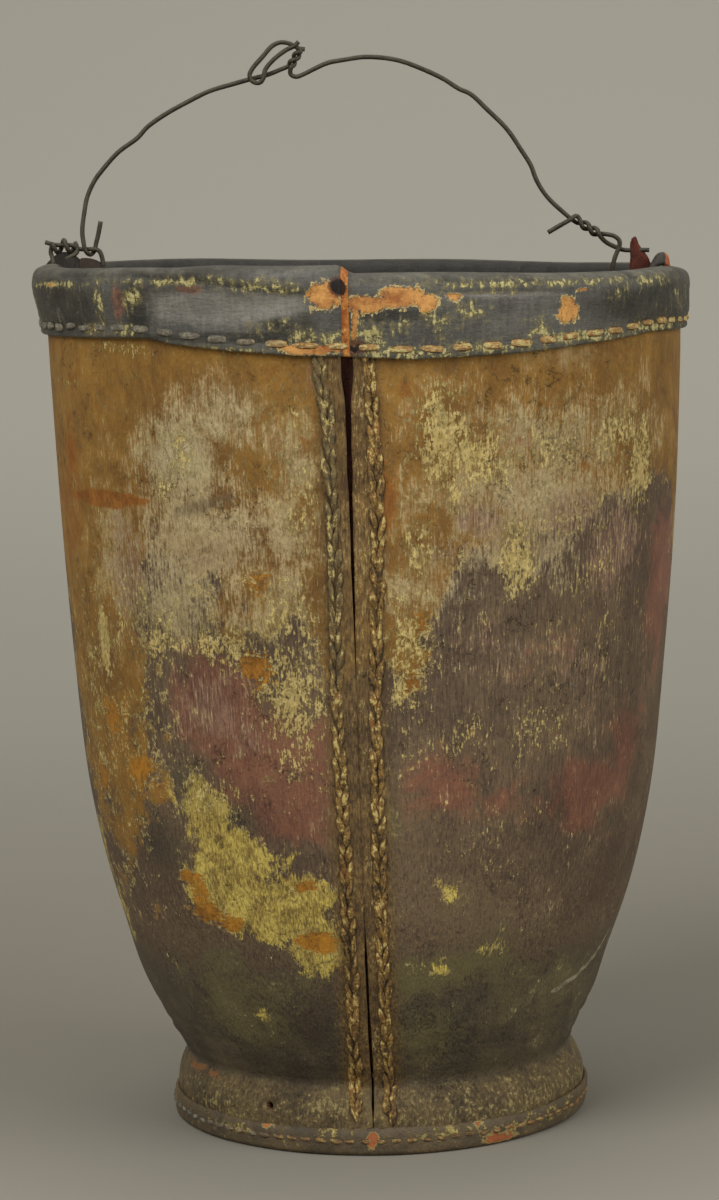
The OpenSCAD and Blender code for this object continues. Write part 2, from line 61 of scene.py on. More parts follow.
def smooth_line(points, step):
    """Even points on a curve through the given ones. Each span is a cubic drawn between its neighbours, with
    knots spaced by the square root of distance so that it doesn't overshoot."""
    p = np.asarray(points, float)
    p = np.vstack([2 * p[0] - p[1], p, 2 * p[-1] - p[-2]])
    knot = np.concatenate([[0], np.cumsum(np.sqrt(np.linalg.norm(np.diff(p, axis=0), axis=1)))])
    spans = []
    for i in range(1, len(p) - 2):
        t = np.linspace(knot[i], knot[i + 1], 13)[:-1, None]

        def along(a, b, first, last):
            return (a * (knot[last] - t) + b * (t - knot[first])) / (knot[last] - knot[first])

        one = along(p[i - 1], p[i], i - 1, i)
        two = along(p[i], p[i + 1], i, i + 1)
        three = along(p[i + 1], p[i + 2], i + 1, i + 2)
        spans.append(along(along(one, two, i - 1, i + 1), along(two, three, i, i + 2), i, i + 1))
    dense = np.vstack(spans + [p[-2:-1]])
    run = np.concatenate([[0], np.cumsum(np.linalg.norm(np.diff(dense, axis=0), axis=1))])
    even = np.linspace(0, run[-1], max(2, int(round(run[-1] / step)) + 1))
    return np.column_stack([np.interp(even, run, dense[:, k]) for k in range(dense.shape[1])])


def ease(low, high, x):
    """0 below low, 1 above high, and a smooth S between them."""
    t = np.clip((x - low) / (high - low), 0, 1)
    return t * t * (3 - 2 * t)


def bump_at(x, middle, half):
    """A rounded bump: 1 in the middle, and e to the minus one at half its width away."""
    return np.exp(-((x - middle) / half) ** 2)


def read_off(points, x):
    """Value at x on a line drawn through points."""
    return np.interp(x, *np.transpose(points))


def from_seam(angle):
    """The same angle as degrees from the seam, less than 0 on the left of it."""
    return (angle + 180) % 360 - 180


outline = np.vstack([smooth_line(foot_outline, 1.2), smooth_line(belly_outline, 2.6)[1:]])


def body_radius(height):
    return np.interp(height, outline[:, 1], outline[:, 0])


def leather_place(angle, radius, height):
    """Metres from an angle round the bucket, a radius and a height: a circle pushed a little out of round by
    slow waves, with foot and belly slumped to the left, and the right side nipped in over a wider foot. The
    mouth is higher on the left than on the right, and highest at the front left."""
    turn = np.radians(angle)
    belly = ease(26, 70, height) * (1 - ease(235, 270, height))
    out = radius + belly * (0.3 * np.cos(2 * turn + 0.6) + 0.3 * np.cos(3 * turn - height / 60)
                            + 0.2 * np.cos(5 * turn + height / 33))
    slump = (1.2 * (1 - ease(120, 235, height)) + 1.1 * bump_at(height, 54, 14)) * np.sin(turn) ** 2
    nip = (1.3 * bump_at(height, 33, 7) - 1.1 * bump_at(height, 11, 6)) * np.maximum(np.sin(turn), 0) ** 2
    tilt = mouth_level - mouth_lean * np.sin(turn) + mouth_twist * np.sin(2 * turn)
    crown = mouth_crown * np.exp(3 * (np.cos(turn + 0.6) - 1))
    height = height + ease(150, 290, height) * (tilt + crown)
    return np.stack([out * np.sin(turn) - (slump + nip), -out * np.cos(turn), height + 0 * out], axis=-1) * mm


def seam_relief(across, height):
    """How far the hide stands out near the seam: lips turned out along the open gap, a flat raised strip
    between the rows, and a channel under each row that puckers from stitch to stitch."""
    left = read_off(row_left, height)
    right = read_off(row_right, height)
    away = np.abs(across)
    lips = 0.9 * ease(200, 272, height) * np.exp(-away / 3.2)
    strip = 0.7 * (1 - ease(0.9, 1.5, away / np.where(across < 0, -left, right)))
    pucker = 1 + 0.45 * np.cos(2 * np.pi * height / stitch_pitch)
    channel = 0.65 * pucker * (bump_at(across, left, 1.7) + bump_at(across, right, 1.7))
    return (lips + strip - channel) * ease(3, 12, height)


def new_object(name, mesh):
    made = bpy.data.objects.new(name, mesh)
    bpy.context.scene.collection.objects.link(made)
    return made


def faced_out(made):
    """Merges the points that coincide and turns every face of a closed mesh outwards."""
    work = bmesh.new()
    work.from_mesh(made.data)
    bmesh.ops.remove_doubles(work, verts=work.verts, dist=1e-7)
    bmesh.ops.recalc_face_normals(work, faces=work.faces)
    work.to_mesh(made.data)
    work.free()
    return made


def quads(rows, columns, close_rows=False, close_columns=False):
    """Corner numbers and UV shares of the quads over a grid of points, joined to its start where closed."""
    last_row, last_column = rows - (not close_rows), columns - (not close_columns)
    i, j = (g.ravel() for g in np.meshgrid(np.arange(last_row), np.arange(last_column), indexing="ij"))
    down, right = (i + 1) % rows, (j + 1) % columns
    corners = np.stack([i * columns + j, down * columns + j, down * columns + right,
                        i * columns + right], axis=-1)
    shares = np.stack([np.stack([i, i + 1, i + 1, i], -1) / last_row,
                       np.stack([j, j, j + 1, j + 1], -1) / last_column], -1)
    return corners, shares


def quad_mesh(name, points, corners, shares, marks=None):
    """Smooth mesh from points in metres and quads, with a UV map and named values on its points."""
    mesh = bpy.data.meshes.new(name)
    mesh.vertices.add(len(points))
    mesh.vertices.foreach_set("co", np.asarray(points, np.float32).ravel())
    mesh.loops.add(corners.size)
    mesh.loops.foreach_set("vertex_index", corners.astype(np.int32).ravel())
    mesh.polygons.add(len(corners))
    mesh.polygons.foreach_set("loop_start", np.arange(0, corners.size, 4, dtype=np.int32))
    mesh.polygons.foreach_set("use_smooth", np.ones(len(corners), bool))
    mesh.uv_layers.new(name="UVMap").data.foreach_set("uv", shares.astype(np.float32).ravel())
    mesh.update(calc_edges=True)
    for mark, values in (marks or {}).items():
        made = mesh.attributes.new(mark, "FLOAT", "POINT")
        made.data.foreach_set("value", values.astype(np.float32).ravel())
    return new_object(name, mesh)


def zone(angle, height, spots):
    """How far a point is inside the nearest of some rounded zones: 1 at the middle of one, 0.5 on its edge
    and 0 at twice its size. A spot is angle, height, half width in degrees, half height and strength."""
    value = np.zeros_like(height * angle)
    for a, h, wide, high, strength in spots:
        turn = from_seam(angle - a)
        away = np.hypot(turn / wide, (height - h) / high)
        value = np.maximum(value, strength * np.clip(1 - away / 2, 0, 1))
    return value


body_paint = {
    "ochre": [
        (-58, 174, 15, 75, 1), (8, 230, 9, 40, .95), (-8, 246, 7, 26, .8), (-22, 268, 30, 6, .5),
        (-15, 196, 6, 12, 1.0), (-23, 188, 4, 16, .9), (-30, 200, 3, 10, .6), (-8, 206, 5, 26, .55),
        (40, 262, 30, 12, .8), (66, 236, 6, 26, .6), (140, 200, 22, 60, .9), (-128, 180, 26, 60, .9),
        (178, 150, 14, 40, .7), (96, 235, 20, 30, .8), (9, 174, 5, 26, .7)],
    "veil": [
        (-22, 249, 8, 10, .8), (-31, 233, 8, 16, 1.2), (-24, 228, 6, 6, .8), (-9, 232, 5, 16, .8),
        (-24, 212, 24, 12, 1.0), (-36, 192, 11, 14, 1.05), (-30, 200, 8, 9, .95), (-24, 187, 9, 8, .75),
        (-50, 200, 10, 30, .5), (-28, 196, 14, 12, .7), (-12, 192, 7, 22, .7), (36, 240, 24, 16, .9),
        (32, 222, 20, 16, 1), (30, 206, 16, 10, .9), (14, 204, 8, 20, .7), (120, 220, 26, 30, .9),
        (-160, 214, 26, 34, .9), (-100, 205, 14, 30, .6), (160, 180, 18, 22, .6)],
    "cream": [
        (15.5, 243, 3.5, 12, 1.6), (22, 237, 7, 9, 1.25), (34, 238, 12, 9, .8), (54, 241, 8, 8, 1.15),
        (60, 232, 4, 14, 1.3), (17, 252, 2, 7, .9), (30, 203, 4, 12, 1.25), (42, 214, 12, 10, .6),
        (17, 226, 4, 8, .9), (36, 147, 7, 8, .85), (22, 144, 6, 9, .7), (9, 172, 5, 22, .95),
        (12, 205, 3, 14, .95), (-32, 238, 6, 8, .9), (-35, 226, 4, 6, .8), (-10, 240, 4, 14, .6),
        (-8, 220, 4, 14, .85), (-38, 180, 10, 14, .7), (-12, 160, 6, 22, 1.15), (-12, 184, 5, 12, 1.0),
        (-24, 176, 10, 7, 1.0), (-38, 178, 8, 8, .9), (-55.3, 175, 1.2, 8, 3.4), (-62, 149, 10, 40, .75),
        (-31, 128, 9, 10, .8), (-44, 155, 6, 14, .7), (26, 112, 12, 12, .4), (46, 198, 6, 12, .7),
        (36, 180, 22, 12, .42), (50, 176, 6, 20, .5), (-46, 270, 8, 1.6, .85), (-64, 258, 8, 1.4, .8),
        (-36, 262, 6, 1.2, .7), (-52, 186, 8, 30, .5), (150, 238, 13, 14, .8), (-140, 205, 12, 15, .8),
        (110, 172, 9, 15, .7), (-105, 238, 8, 10, .6)],
    "haze": [
        (-22, 250, 7, 10, .6), (-30, 237, 5, 9, 1.1), (-22, 214, 16, 7, .35), (32, 222, 12, 9, .6),
        (40, 268, 12, 6, .5), (-155, 220, 20, 20, .8)],
    "violet": [
        (-44, 196, 5, 24, .7), (-24, 206, 14, 6, .5), (-7, 262, 5, 10, .5), (23, 217, 5, 7, .95),
        (42, 216, 8, 7, .95), (52, 204, 8, 14, .9), (16, 206, 5, 6, .7), (30, 207, 10, 5, .7),
        (60, 226, 4, 10, .6), (-28, 156, 8, 16, .75), (-20, 146, 6, 10, .6), (24, 176, 12, 10, .5),
        (46, 164, 14, 16, .5), (-150, 190, 16, 14, .8)],
    "maroon": [
        (-27, 158, 8, 17, 1.05), (-21, 140, 8, 17, 1.05), (-14, 122, 9, 11, .95), (-7, 140, 5, 14, .6),
        (18, 132, 9, 13, .62), (48, 121, 13, 12, 1.0), (61, 137, 8, 18, .8), (73, 194, 9, 30, .9),
        (28, 124, 10, 8, .5), (60, 99, 9, 10, .6), (45, 166, 30, 30, .3), (20, 150, 8, 12, .4),
        (40, 216, 6, 8, .75), (22, 216, 4, 8, .7), (15, 200, 3, 8, .6), (160, 140, 25, 26, .9),
        (-108, 130, 16, 22, .9), (105, 120, 14, 20, .7)],
    "yellow": [
        (-31, 120, 6, 13, .8), (-27, 105, 7, 10, 1.1), (-32, 92, 6, 8, 1), (-22, 88, 8, 9, 1.15),
        (-13, 92, 6, 9, 1.0), (-10, 76, 5, 9, 1), (-15, 105, 4, 5, .65), (17, 95, 7, 7, .36),
        (15, 66, 8, 6, .36), (28, 72, 8, 5, .3), (-27, 49, 4, 5, .42), (166, 96, 14, 13, .9),
        (-118, 94, 12, 12, .85), (-75, 94, 5, 30, .5)],
    "orange": [
        (-17, 198, 3.5, 6, .8), (-18.5, 171, 4, 7, 1.1), (-38, 97, 3.5, 2.2, 1.1), (-35, 92, 4, 2, 1),
        (-35, 85, 4.5, 4, 1.2), (-29, 81.5, 5, 2.4, 1.1), (-12, 97, 4, 2.6, 1.1),
        (-10.5, 77.5, 4.5, 3.2, 1.25), (-61, 166, 6, 13, .6), (-55, 149, 7, 12, .8), (-47, 132, 5, 7, .9),
        (-59, 191, 8, 9, .6), (-63, 125, 5, 9, .8), (10, 165, 2.2, 5, .95), (12, 183, 2, 7, .8),
        (128, 150, 6, 8, 1), (-150, 122, 7, 6, 1), (174, 172, 4, 9, 1), (150, 88, 5, 4, 1.1),
        (-122, 88, 5, 4, 1.1)],
    "bar": [(-52, 221.5, 11, 2.2, 1.2), (-64, 236, 5, 9, .7), (6, 226, 3, 22, .6), (140, 214, 12, 3, 1)],
    "crumbs": [
        (22, 11, 16, 5, 1), (44, 12, 18, 5, .95), (-16, 16, 10, 4, .9), (-50, 12, 16, 6, .8),
        (5, 12, 8, 5, .7), (130, 14, 30, 7, .8), (-140, 12, 30, 6, .8), (75, 14, 16, 7, .9),
        (30, 20, 40, 3, .6)],
    "worn": [
        (-62, 21, 16, 2.2, 1), (-85, 22, 12, 2, .9), (-0.1, 6, 1.5, 3, 1), (120, 22, 20, 2, .9),
        (-150, 22, 20, 2, .8), (66, 22, 8, 1.6, .6)],
    "blue": [(16, 191, 8, 6, 1), (30, 172, 12, 9, .9), (44, 160, 8, 8, .8), (150, 170, 14, 14, .9)],
    "strokes": [
        (-12, 245, 9, 14, 1), (-34, 240, 7, 8, .8), (-22, 184, 14, 9, .9), (-46, 190, 8, 16, .6),
        (34, 232, 24, 16, .8), (14, 216, 6, 18, .9), (60, 222, 8, 16, .7), (-150, 230, 24, 20, .8),
        (120, 210, 24, 20, .7)],
    "olive": [
        (-26, 50, 14, 12, .9), (-36, 62, 8, 12, .6), (-12, 58, 6, 12, .7), (16, 64, 9, 6, .9),
        (36, 66, 8, 12, .5), (14, 42, 7, 8, .9), (52, 52, 14, 10, .2), (-66, 80, 14, 20, .5),
        (150, 60, 30, 16, .8), (-130, 60, 30, 16, .8)],
    "fissure": [(-34, 226, 7, 14, 1), (-26, 214, 10, 8, .9), (30, 175, 16, 10, .6), (-160, 200, 20, 20, .8)],
    "char": [
        (-24, 119, 7, 7, .8), (-36, 130, 6, 10, .6), (-46, 106, 8, 14, .9), (-17, 96, 4, 4, .9),
        (58, 110, 8, 7, .7), (-4, 98, 4, 40, .5), (4, 128, 3, 40, .6)],
}

# Round the bucket in degrees from the seam, close together near it and wide apart at the back
turns = np.unique(np.concatenate([np.arange(0, 10, .5), np.arange(10, 110, .9), np.arange(110, 181, 2.0)]))
body_turns = np.concatenate([turns, 360 - turns[-2::-1]])
heights = outline[:, 1]
ring, level = np.meshgrid(body_turns, heights)

# The nail hole in the foot: a block of three by three cells is opened, and its edge is drawn to a circle
nail_angle, nail_height, nail_radius = 360 - 29.6, 15.0, 1.45
hole_row = int(np.argmin(np.abs(heights - nail_height))) - 1
hole_column = int(np.argmin(np.abs(body_turns - nail_angle))) - 1
edge_steps = [(0, 0), (0, 1), (0, 2), (0, 3), (1, 3), (2, 3), (3, 3), (3, 2), (3, 1), (3, 0), (2, 0), (1, 0)]
edge_rows = np.array([hole_row + step[0] for step in edge_steps])
edge_columns = np.array([hole_column + step[1] for step in edge_steps])
spoke = np.arctan2(edge_rows - hole_row - 1.5, edge_columns - hole_column - 1.5)
hole_turn = np.degrees(nail_radius * np.cos(spoke) / body_radius(nail_height))
ring[edge_rows, edge_columns] = nail_angle + hole_turn
level[edge_rows, edge_columns] = nail_height + nail_radius * np.sin(spoke)

# The two edges of the hide stand back from the seam by half of the gape, which wanders a little
half_gape = read_off(gape, level) / 2
half_gape = half_gape * (1 + 0.14 * np.sin(level / 5.1) + 0.1 * np.sin(level / 2.3 + 1))
radius = body_radius(level)
edge_turn = np.degrees(half_gape / radius)
body_angle = edge_turn + ring * (360 - 2 * edge_turn) / 360
signed = np.where(body_angle > 180, body_angle - 360, body_angle)
across = np.radians(signed) * radius
relief = seam_relief(across, level)
folds = ease(24, 27, level) * (1 - ease(36, 46, level))
relief = relief + 0.35 * folds * np.sin(level * 1.05 + 1.2 * np.sin(np.radians(signed) * 2))
outer = leather_place(body_angle, radius + relief, level)
inner = leather_place(body_angle, radius + 0.3 * relief - wall, level)
count = len(heights)
columns = len(body_turns)
body_grid = np.concatenate([outer, inner[::-1]])
corners, shares = quads(2 * count, columns, close_rows=True)
row_of, column_of = np.divmod(np.arange(len(corners)), columns - 1)
finish_of = np.where(row_of < count - 1, 0, np.where((row_of == count - 1) | (row_of == 2 * count - 1), 2, 1))
in_hole = (column_of >= hole_column) & (column_of < hole_column + 3)
mirror_row = 2 * count - 2 - row_of
hole_level = (row_of >= hole_row) & (row_of < hole_row + 3)
hole_level |= (mirror_row >= hole_row) & (mirror_row < hole_row + 3)
in_hole &= hole_level
corners, shares, finish_of = corners[~in_hole], shares[~in_hole], finish_of[~in_hole]


def strip_between(first, second):
    """Quads between two runs of point numbers of the same length."""
    return np.stack([first[:-1], first[1:], second[1:], second[:-1]], axis=-1)


outer_rows = np.arange(count)
inner_rows = 2 * count - 1 - outer_rows
closing = [strip_between(outer_rows * columns + end, inner_rows * columns + end) for end in (0, columns - 1)]
loop = np.append(np.arange(12), 0)
closing.append(strip_between((edge_rows * columns + edge_columns)[loop],
                             ((2 * count - 1 - edge_rows) * columns + edge_columns)[loop]))
extra = np.concatenate(closing)
corners = np.concatenate([corners, extra])
shares = np.concatenate([shares, np.zeros((len(extra), 4, 2))])
finish_of = np.concatenate([finish_of, np.full(len(extra), 2)])
paint_angle = np.concatenate([signed, signed[::-1]])
paint_level = np.concatenate([level, level[::-1]])
body_marks = {name: zone(paint_angle, paint_level, spots) for name, spots in body_paint.items()}
brown_side = ease(9, 20, paint_angle) * (1 - ease(70, 100, paint_angle))
fold_side = ease(-46, -38, paint_angle) * (1 - ease(-12, -4, paint_angle))
ochre_from = 158 + 30 * brown_side + 20 * fold_side
ochre_wave = 12 * np.cos(np.radians(paint_angle * 3))
ochre_top = ease(ochre_from, ochre_from + 50, paint_level + ochre_wave)
body_marks["ochre"] = np.maximum(body_marks["ochre"], ochre_top)
body_marks["char"] = np.maximum(body_marks["char"], 0.95 * (1 - ease(34, 104, paint_level)))
rows_near = np.minimum(np.abs(across - read_off(row_left, level)),
                       np.abs(across - read_off(row_right, level)))
body_marks["seam"] = np.tile(1 - ease(7.0, 12.5, np.abs(across)), (2, 1))
body_marks["strip"] = np.tile(ease(-1, 2, across) * (1 - ease(5, 8, across)), (2, 1))
# The channel mark is for painted shade in the grooves under the stitch rows
channel = bump_at(rows_near, 0, 2.2)
body_marks["channel"] = np.concatenate([channel, channel[::-1]])


def drawn_line(points, half, first, last):
    """A stroke on the paint: 1 along a line through points, fading out between two angles at either end."""
    stroke = bump_at(paint_level, read_off(points, paint_angle), half)
    return stroke * ease(*first, paint_angle) * (1 - ease(*last, paint_angle))


body_marks["scratch"] = drawn_line([(46, 50), (58, 53.5), (68, 58.5), (76, 68)], 2.0, (46, 51), (72, 82))
# The fold mark is for painted shade: a darker line where the hide creases, which the mesh does not model
body_marks["fold"] = drawn_line([(-33, 218.5), (-21, 224)], 2.4, (-36, -31), (-23, -17))
body_marks["foot"] = 1 - ease(waist[1] - 2.5, waist[1] + 1, paint_level)
body = quad_mesh("body_hide", body_grid.reshape(-1, 3), corners, shares, body_marks)
body.data.polygons.foreach_set("material_index", finish_of.astype(np.int32))
work = bmesh.new()
work.from_mesh(body.data)
bmesh.ops.delete(work, geom=[v for v in work.verts if not v.link_faces], context="VERTS")
work.to_mesh(body.data)
work.free()
faced_out(body)


def tone(red, green, blue):
    """Linear colour from the usual 0 to 255 numbers."""
    part = np.array([red, green, blue]) / 255
    linear = np.where(part <= 0.04045, part / 12.92, ((part + 0.055) / 1.055) ** 2.4)
    return (*linear.tolist(), 1.0)


class Signal:
    """A shader socket that adds, takes away and multiplies like a number, a Math node for each step."""

    def __init__(self, finish, socket):
        self.finish, self.socket = finish, socket

    def math(self, operation, a, b=0.0):
        return self.finish.node("ShaderNodeMath", {"operation": operation}, {0: a, 1: b})

    def __add__(self, other):
        return self.math("ADD", self, other)

    def __sub__(self, other):
        return self.math("SUBTRACT", self, other)

    def __rsub__(self, other):
        return self.math("SUBTRACT", other, self)

    def __mul__(self, other):
        return self.math("MULTIPLY", self, other)

    __radd__, __rmul__ = __add__, __mul__

    def away(self):
        """Size without its sign."""
        return self.math("ABSOLUTE", self)

    def border(self, at, width):
        """1 in the narrow band of values just under a limit, 0 elsewhere."""
        return self.step(at - width, at - width / 2) - self.step(at, at + width / 3)

    def step(self, low, high):
        """0 below low, 1 above high, smooth between."""
        return self.finish.node("ShaderNodeMapRange", {"interpolation_type": "SMOOTHSTEP"},
                                {"Value": self, "From Min": low, "From Max": high})


class Finish:
    """One material. Its nodes are all made by node(), from a type, settings and the values of its sockets."""

    def __init__(self, name, **constants):
        self.material = bpy.data.materials.new(name)
        self.material.use_nodes = True
        self.tree = self.material.node_tree
        self.shader = self.tree.nodes["Principled BSDF"]
        for socket, value in constants.items():
            self.shader.inputs[socket.replace("_", " ")].default_value = value
        self.place = self.node("ShaderNodeTexCoord", {}, {}, "Object")
        self.colour = None

    def node(self, kind, settings, sockets, output=0):
        made = self.tree.nodes.new(kind)
        for name, value in settings.items():
            setattr(made, name, value)
        for key, value in sockets.items():
            if isinstance(value, Signal):
                self.tree.links.new(value.socket, made.inputs[key])
            else:
                made.inputs[key].default_value = value
        return Signal(self, made.outputs[output])

    def mark(self, name):
        return self.node("ShaderNodeAttribute", {"attribute_name": name}, {}, "Fac")

    def stretched(self, x, y, z):
        return self.node("ShaderNodeVectorMath", {"operation": "MULTIPLY"}, {0: self.place, 1: (x, y, z)})

    def noise(self, scale, detail=4.0, rough=0.55, at=None, bend=0.0):
        """Cloudy noise about zero, mostly within a half either way; scale is in waves per metre."""
        made = self.node("ShaderNodeTexNoise", {},
                         {"Vector": at or self.place, "Scale": scale, "Detail": detail, "Roughness": rough,
                          "Distortion": bend})
        return (made - 0.5) * 3

    def cracks(self, scale, width, at=None):
        """1 along the borders of random cells, 0 inside them."""
        edge = self.node("ShaderNodeTexVoronoi", {"feature": "DISTANCE_TO_EDGE"},
                         {"Vector": at or self.place, "Scale": scale})
        return 1 - edge.step(0.0, width)

    def mix(self, first, second, amount):
        """Between two colours, each of them a signal or three numbers from 0 to 255."""
        first, second = (tone(*c) if isinstance(c, tuple) else c for c in (first, second))
        return self.node("ShaderNodeMix", {"data_type": "RGBA"}, {0: amount, 6: first, 7: second}, 2)

    def shades(self, dark, light, signal, low, high):
        """From one colour to another as a signal rises between two limits."""
        return self.mix(dark, light, signal.step(low, high))

    def coat(self, paint, cover=1):
        """Lays a colour over what is there, as far as it covers. The first is the ground and covers all."""
        self.colour = self.mix(self.colour, paint, cover) if self.colour else paint

    def wear(self, rough, height, depth):
        """Joins up the shader: its coats, the roughness, and a relief of that depth in metres."""
        bump = self.node("ShaderNodeBump", {},
                         {"Strength": 1.0, "Distance": depth, "Height": height}, "Normal")
        for socket, value in (("Base Color", self.colour), ("Roughness", rough), ("Normal", bump)):
            if isinstance(value, Signal):
                self.tree.links.new(value.socket, self.shader.inputs[socket])
            else:
                self.shader.inputs[socket].default_value = value
        return self.material


def painted_hide():
    """Ochre ground, a brown to maroon coat and what is left of a cream one, torn through in flakes that
    follow the hide's upright grain. Each coat shows where its zone and the noises together pass a limit."""
    f = Finish("painted_hide", Specular_IOR_Level=0.22)
    cloud = f.noise(14, 4, 0.58)
    patch = f.noise(48, 8, 0.68, bend=0.4)
    torn = f.noise(125, 9, 0.76, f.stretched(1, 1, 0.62), 0.5) * 1.3
    blotch = f.noise(240, 6, 0.7, bend=0.6)
    crumb = f.noise(800, 6, 0.74, f.stretched(1, 1, 0.7)) * 1.25
    upright = f.noise(1750, 3, 0.66, f.stretched(1, 1, 0.18)) * 1.15
    lying = f.noise(1300, 3, 0.6, f.stretched(0.16, 0.16, 1))
    comb = f.noise(1500, 2, 0.6, f.stretched(1, 1, 0.05)) * 1.3
    hatch = upright * 0.6 + comb * 0.45 + crumb * 0.3
    whole = 1 - f.mark("haze") * 0.75
    flake = torn * 0.4 + blotch * 0.3 + (crumb * 0.4 + upright * 0.4) * whole

    ground = f.shades((82, 66, 53), (126, 106, 78), cloud * 0.5 + patch * 0.5 + hatch * 0.9, -0.6, 0.7)
    maroon = (f.mark("maroon") + patch * 0.45 + cloud * 0.3 + torn * 0.15).step(0.3, 0.6)
    red = f.shades((98, 64, 51), (142, 95, 71), cloud * 0.6 + patch * 0.7 + hatch * 0.7, -0.7, 0.7)
    f.coat(ground)
    f.coat(red, maroon * 0.9)
    violet = (f.mark("violet") + patch * 0.4 + torn * 0.4 + hatch * 0.4).step(0.36, 0.62)
    char = (f.mark("char") + patch * 0.5 + cloud * 0.35 + torn * 0.15).step(0.3, 0.75)
    dark = f.shades((58, 52, 43), (98, 87, 65),
                    patch * 0.8 + cloud * 0.4 + hatch * 0.6 + torn * 0.3, -0.7, 0.7)
    f.coat(dark, char * 0.93)
    olive = (f.mark("olive") * 0.8 + char * 0.2 + cloud * 0.5 + patch * 0.6 + hatch * 0.4).step(0.35, 0.85)
    f.coat((114, 106, 64), olive * 0.52)
    laid = f.mark("ochre") + patch * 0.5 + cloud * 0.25 + torn * 0.3 + crumb * 0.06
    ochre = laid.step(0.4, 0.52)
    warm = f.shades((116, 82, 36), (162, 120, 48),
                    cloud * 0.6 + patch * 0.7 + torn * 0.35 + crumb * 0.3, -0.6, 0.6)
    warm = f.mix(warm, (140, 84, 26), (cloud * 0.7 + patch * 0.6 - torn * 0.4).step(0.2, 0.5) * 0.7)
    warm = f.mix(warm, (92, 74, 50), (hatch * 0.8 + torn * 0.4).step(0.05, 0.7) * 0.55 * whole)
    f.coat(warm, ochre * 0.95)
    veil = (f.mark("veil") * 0.85 + patch * 0.45 + torn * 0.4 + hatch * 0.45 * whole).step(0.24, 0.7)
    thin = f.shades((152, 133, 95), (214, 196, 149), crumb * 0.6 + hatch * 0.7 + torn * 0.3, -0.5, 0.8)
    f.coat(thin, veil * 0.82)
    haze = (f.mark("haze") + patch * 0.3 + torn * 0.15 + hatch * 0.2).step(0.15, 0.85)
    f.coat(f.shades((170, 151, 108), (204, 189, 146), patch + crumb * 0.5, -0.5, 0.6), haze * 0.85)
    rose = f.shades((102, 78, 64), (160, 127, 104), hatch + patch * 0.3, -0.5, 0.6)
    f.coat(rose, violet * 0.72)
    # Painted shade along the crease of the fold mark
    f.coat((96, 84, 66), (f.mark("fold") + hatch * 0.25).step(0.2, 0.9) * 0.55)
    rubbed = (hatch * 0.8 + crumb * 0.35 - torn * 0.35).step(0.28, 0.45)
    f.coat((80, 62, 47), rubbed * 0.55 * whole)
    hair = hatch * 0.85 + torn * 0.3 + f.mark("veil") * 0.2 + f.mark("cream") * 0.2 + violet * 0.14
    hair = (hair - char * 0.35).step(0.42, 0.58)
    f.coat(f.shades((156, 136, 92), (196, 177, 122), crumb, -0.3, 0.5), hair * 0.75 * whole)
    crust = f.mark("yellow") + patch * 0.4 + torn * 0.3 + upright * 0.12
    yellow = crust.step(0.38, 0.48)
    yellow_tone = f.shades((136, 109, 45), (222, 200, 103),
                           upright * 0.5 + torn * 0.6 + patch * 0.5 + crumb * 0.35, -0.6, 0.7)
    alligator = f.cracks(300, 0.07, f.stretched(1, 1, 0.5)) * (blotch + patch).step(-0.2, 0.3)
    yellow_tone = f.mix(yellow_tone, (84, 66, 42), alligator * 0.55)
    f.coat(yellow_tone, yellow * (upright * 0.4 + torn * 0.6 + 0.78))
    pale = f.shades((176, 152, 90), (226, 205, 135), crumb * 0.7 + blotch * 0.5, -0.3, 0.7)
    cream = (f.mark("cream") * 0.62 + flake).step(0.46, 0.54)
    f.coat(pale, cream * 0.85)
    edges = laid.border(0.42, 0.07) + crust.border(0.39, 0.05)
    outlined = edges * (blotch * 0.8 + f.mark("cream") * 0.3 + crumb * 0.4).step(0.1, 0.25)
    curl = 1 - (torn + patch * 0.4).away().step(0.0, 0.055)
    stroked = f.mark("cream") * 0.4 + f.mark("strokes") * 0.35 + f.mark("ochre") * 0.15 + blotch * 0.8
    stroke = curl * stroked.step(0.3, 0.42)
    f.coat(pale, (stroke + outlined) * 0.85)
    split = 1 - (patch * 0.8 + blotch * 0.25 + 0.12).away().step(0.0, 0.02)
    split = split * (blotch + cloud * 0.5 + f.mark("fissure") * 0.5).step(0.1, 0.3)
    f.coat((60, 47, 38), split * 0.8)
    orange = f.mark("orange") * 0.7 + patch * 0.3 + torn * 0.3 + crumb * 0.1 + lying * 0.2
    f.coat(pale, orange.border(0.44, 0.08) * (crumb * 0.8 + blotch * 0.5).step(-0.1, 0.2) * 0.85)
    bare = orange.step(0.44, 0.49)
    bare_tone = f.shades((120, 74, 26), (186, 128, 38),
                         torn * 0.5 + crumb * 0.4 + patch * 0.6 + upright * 0.2, -0.5, 0.5)
    f.coat(bare_tone, bare * 0.94)
    bar = (f.mark("bar") + patch * 0.25 + torn * 0.2 + upright * 0.1).step(0.4, 0.56)
    f.coat(f.shades((124, 74, 24), (158, 98, 28), torn + crumb * 0.4, -0.5, 0.5), bar * 0.9)

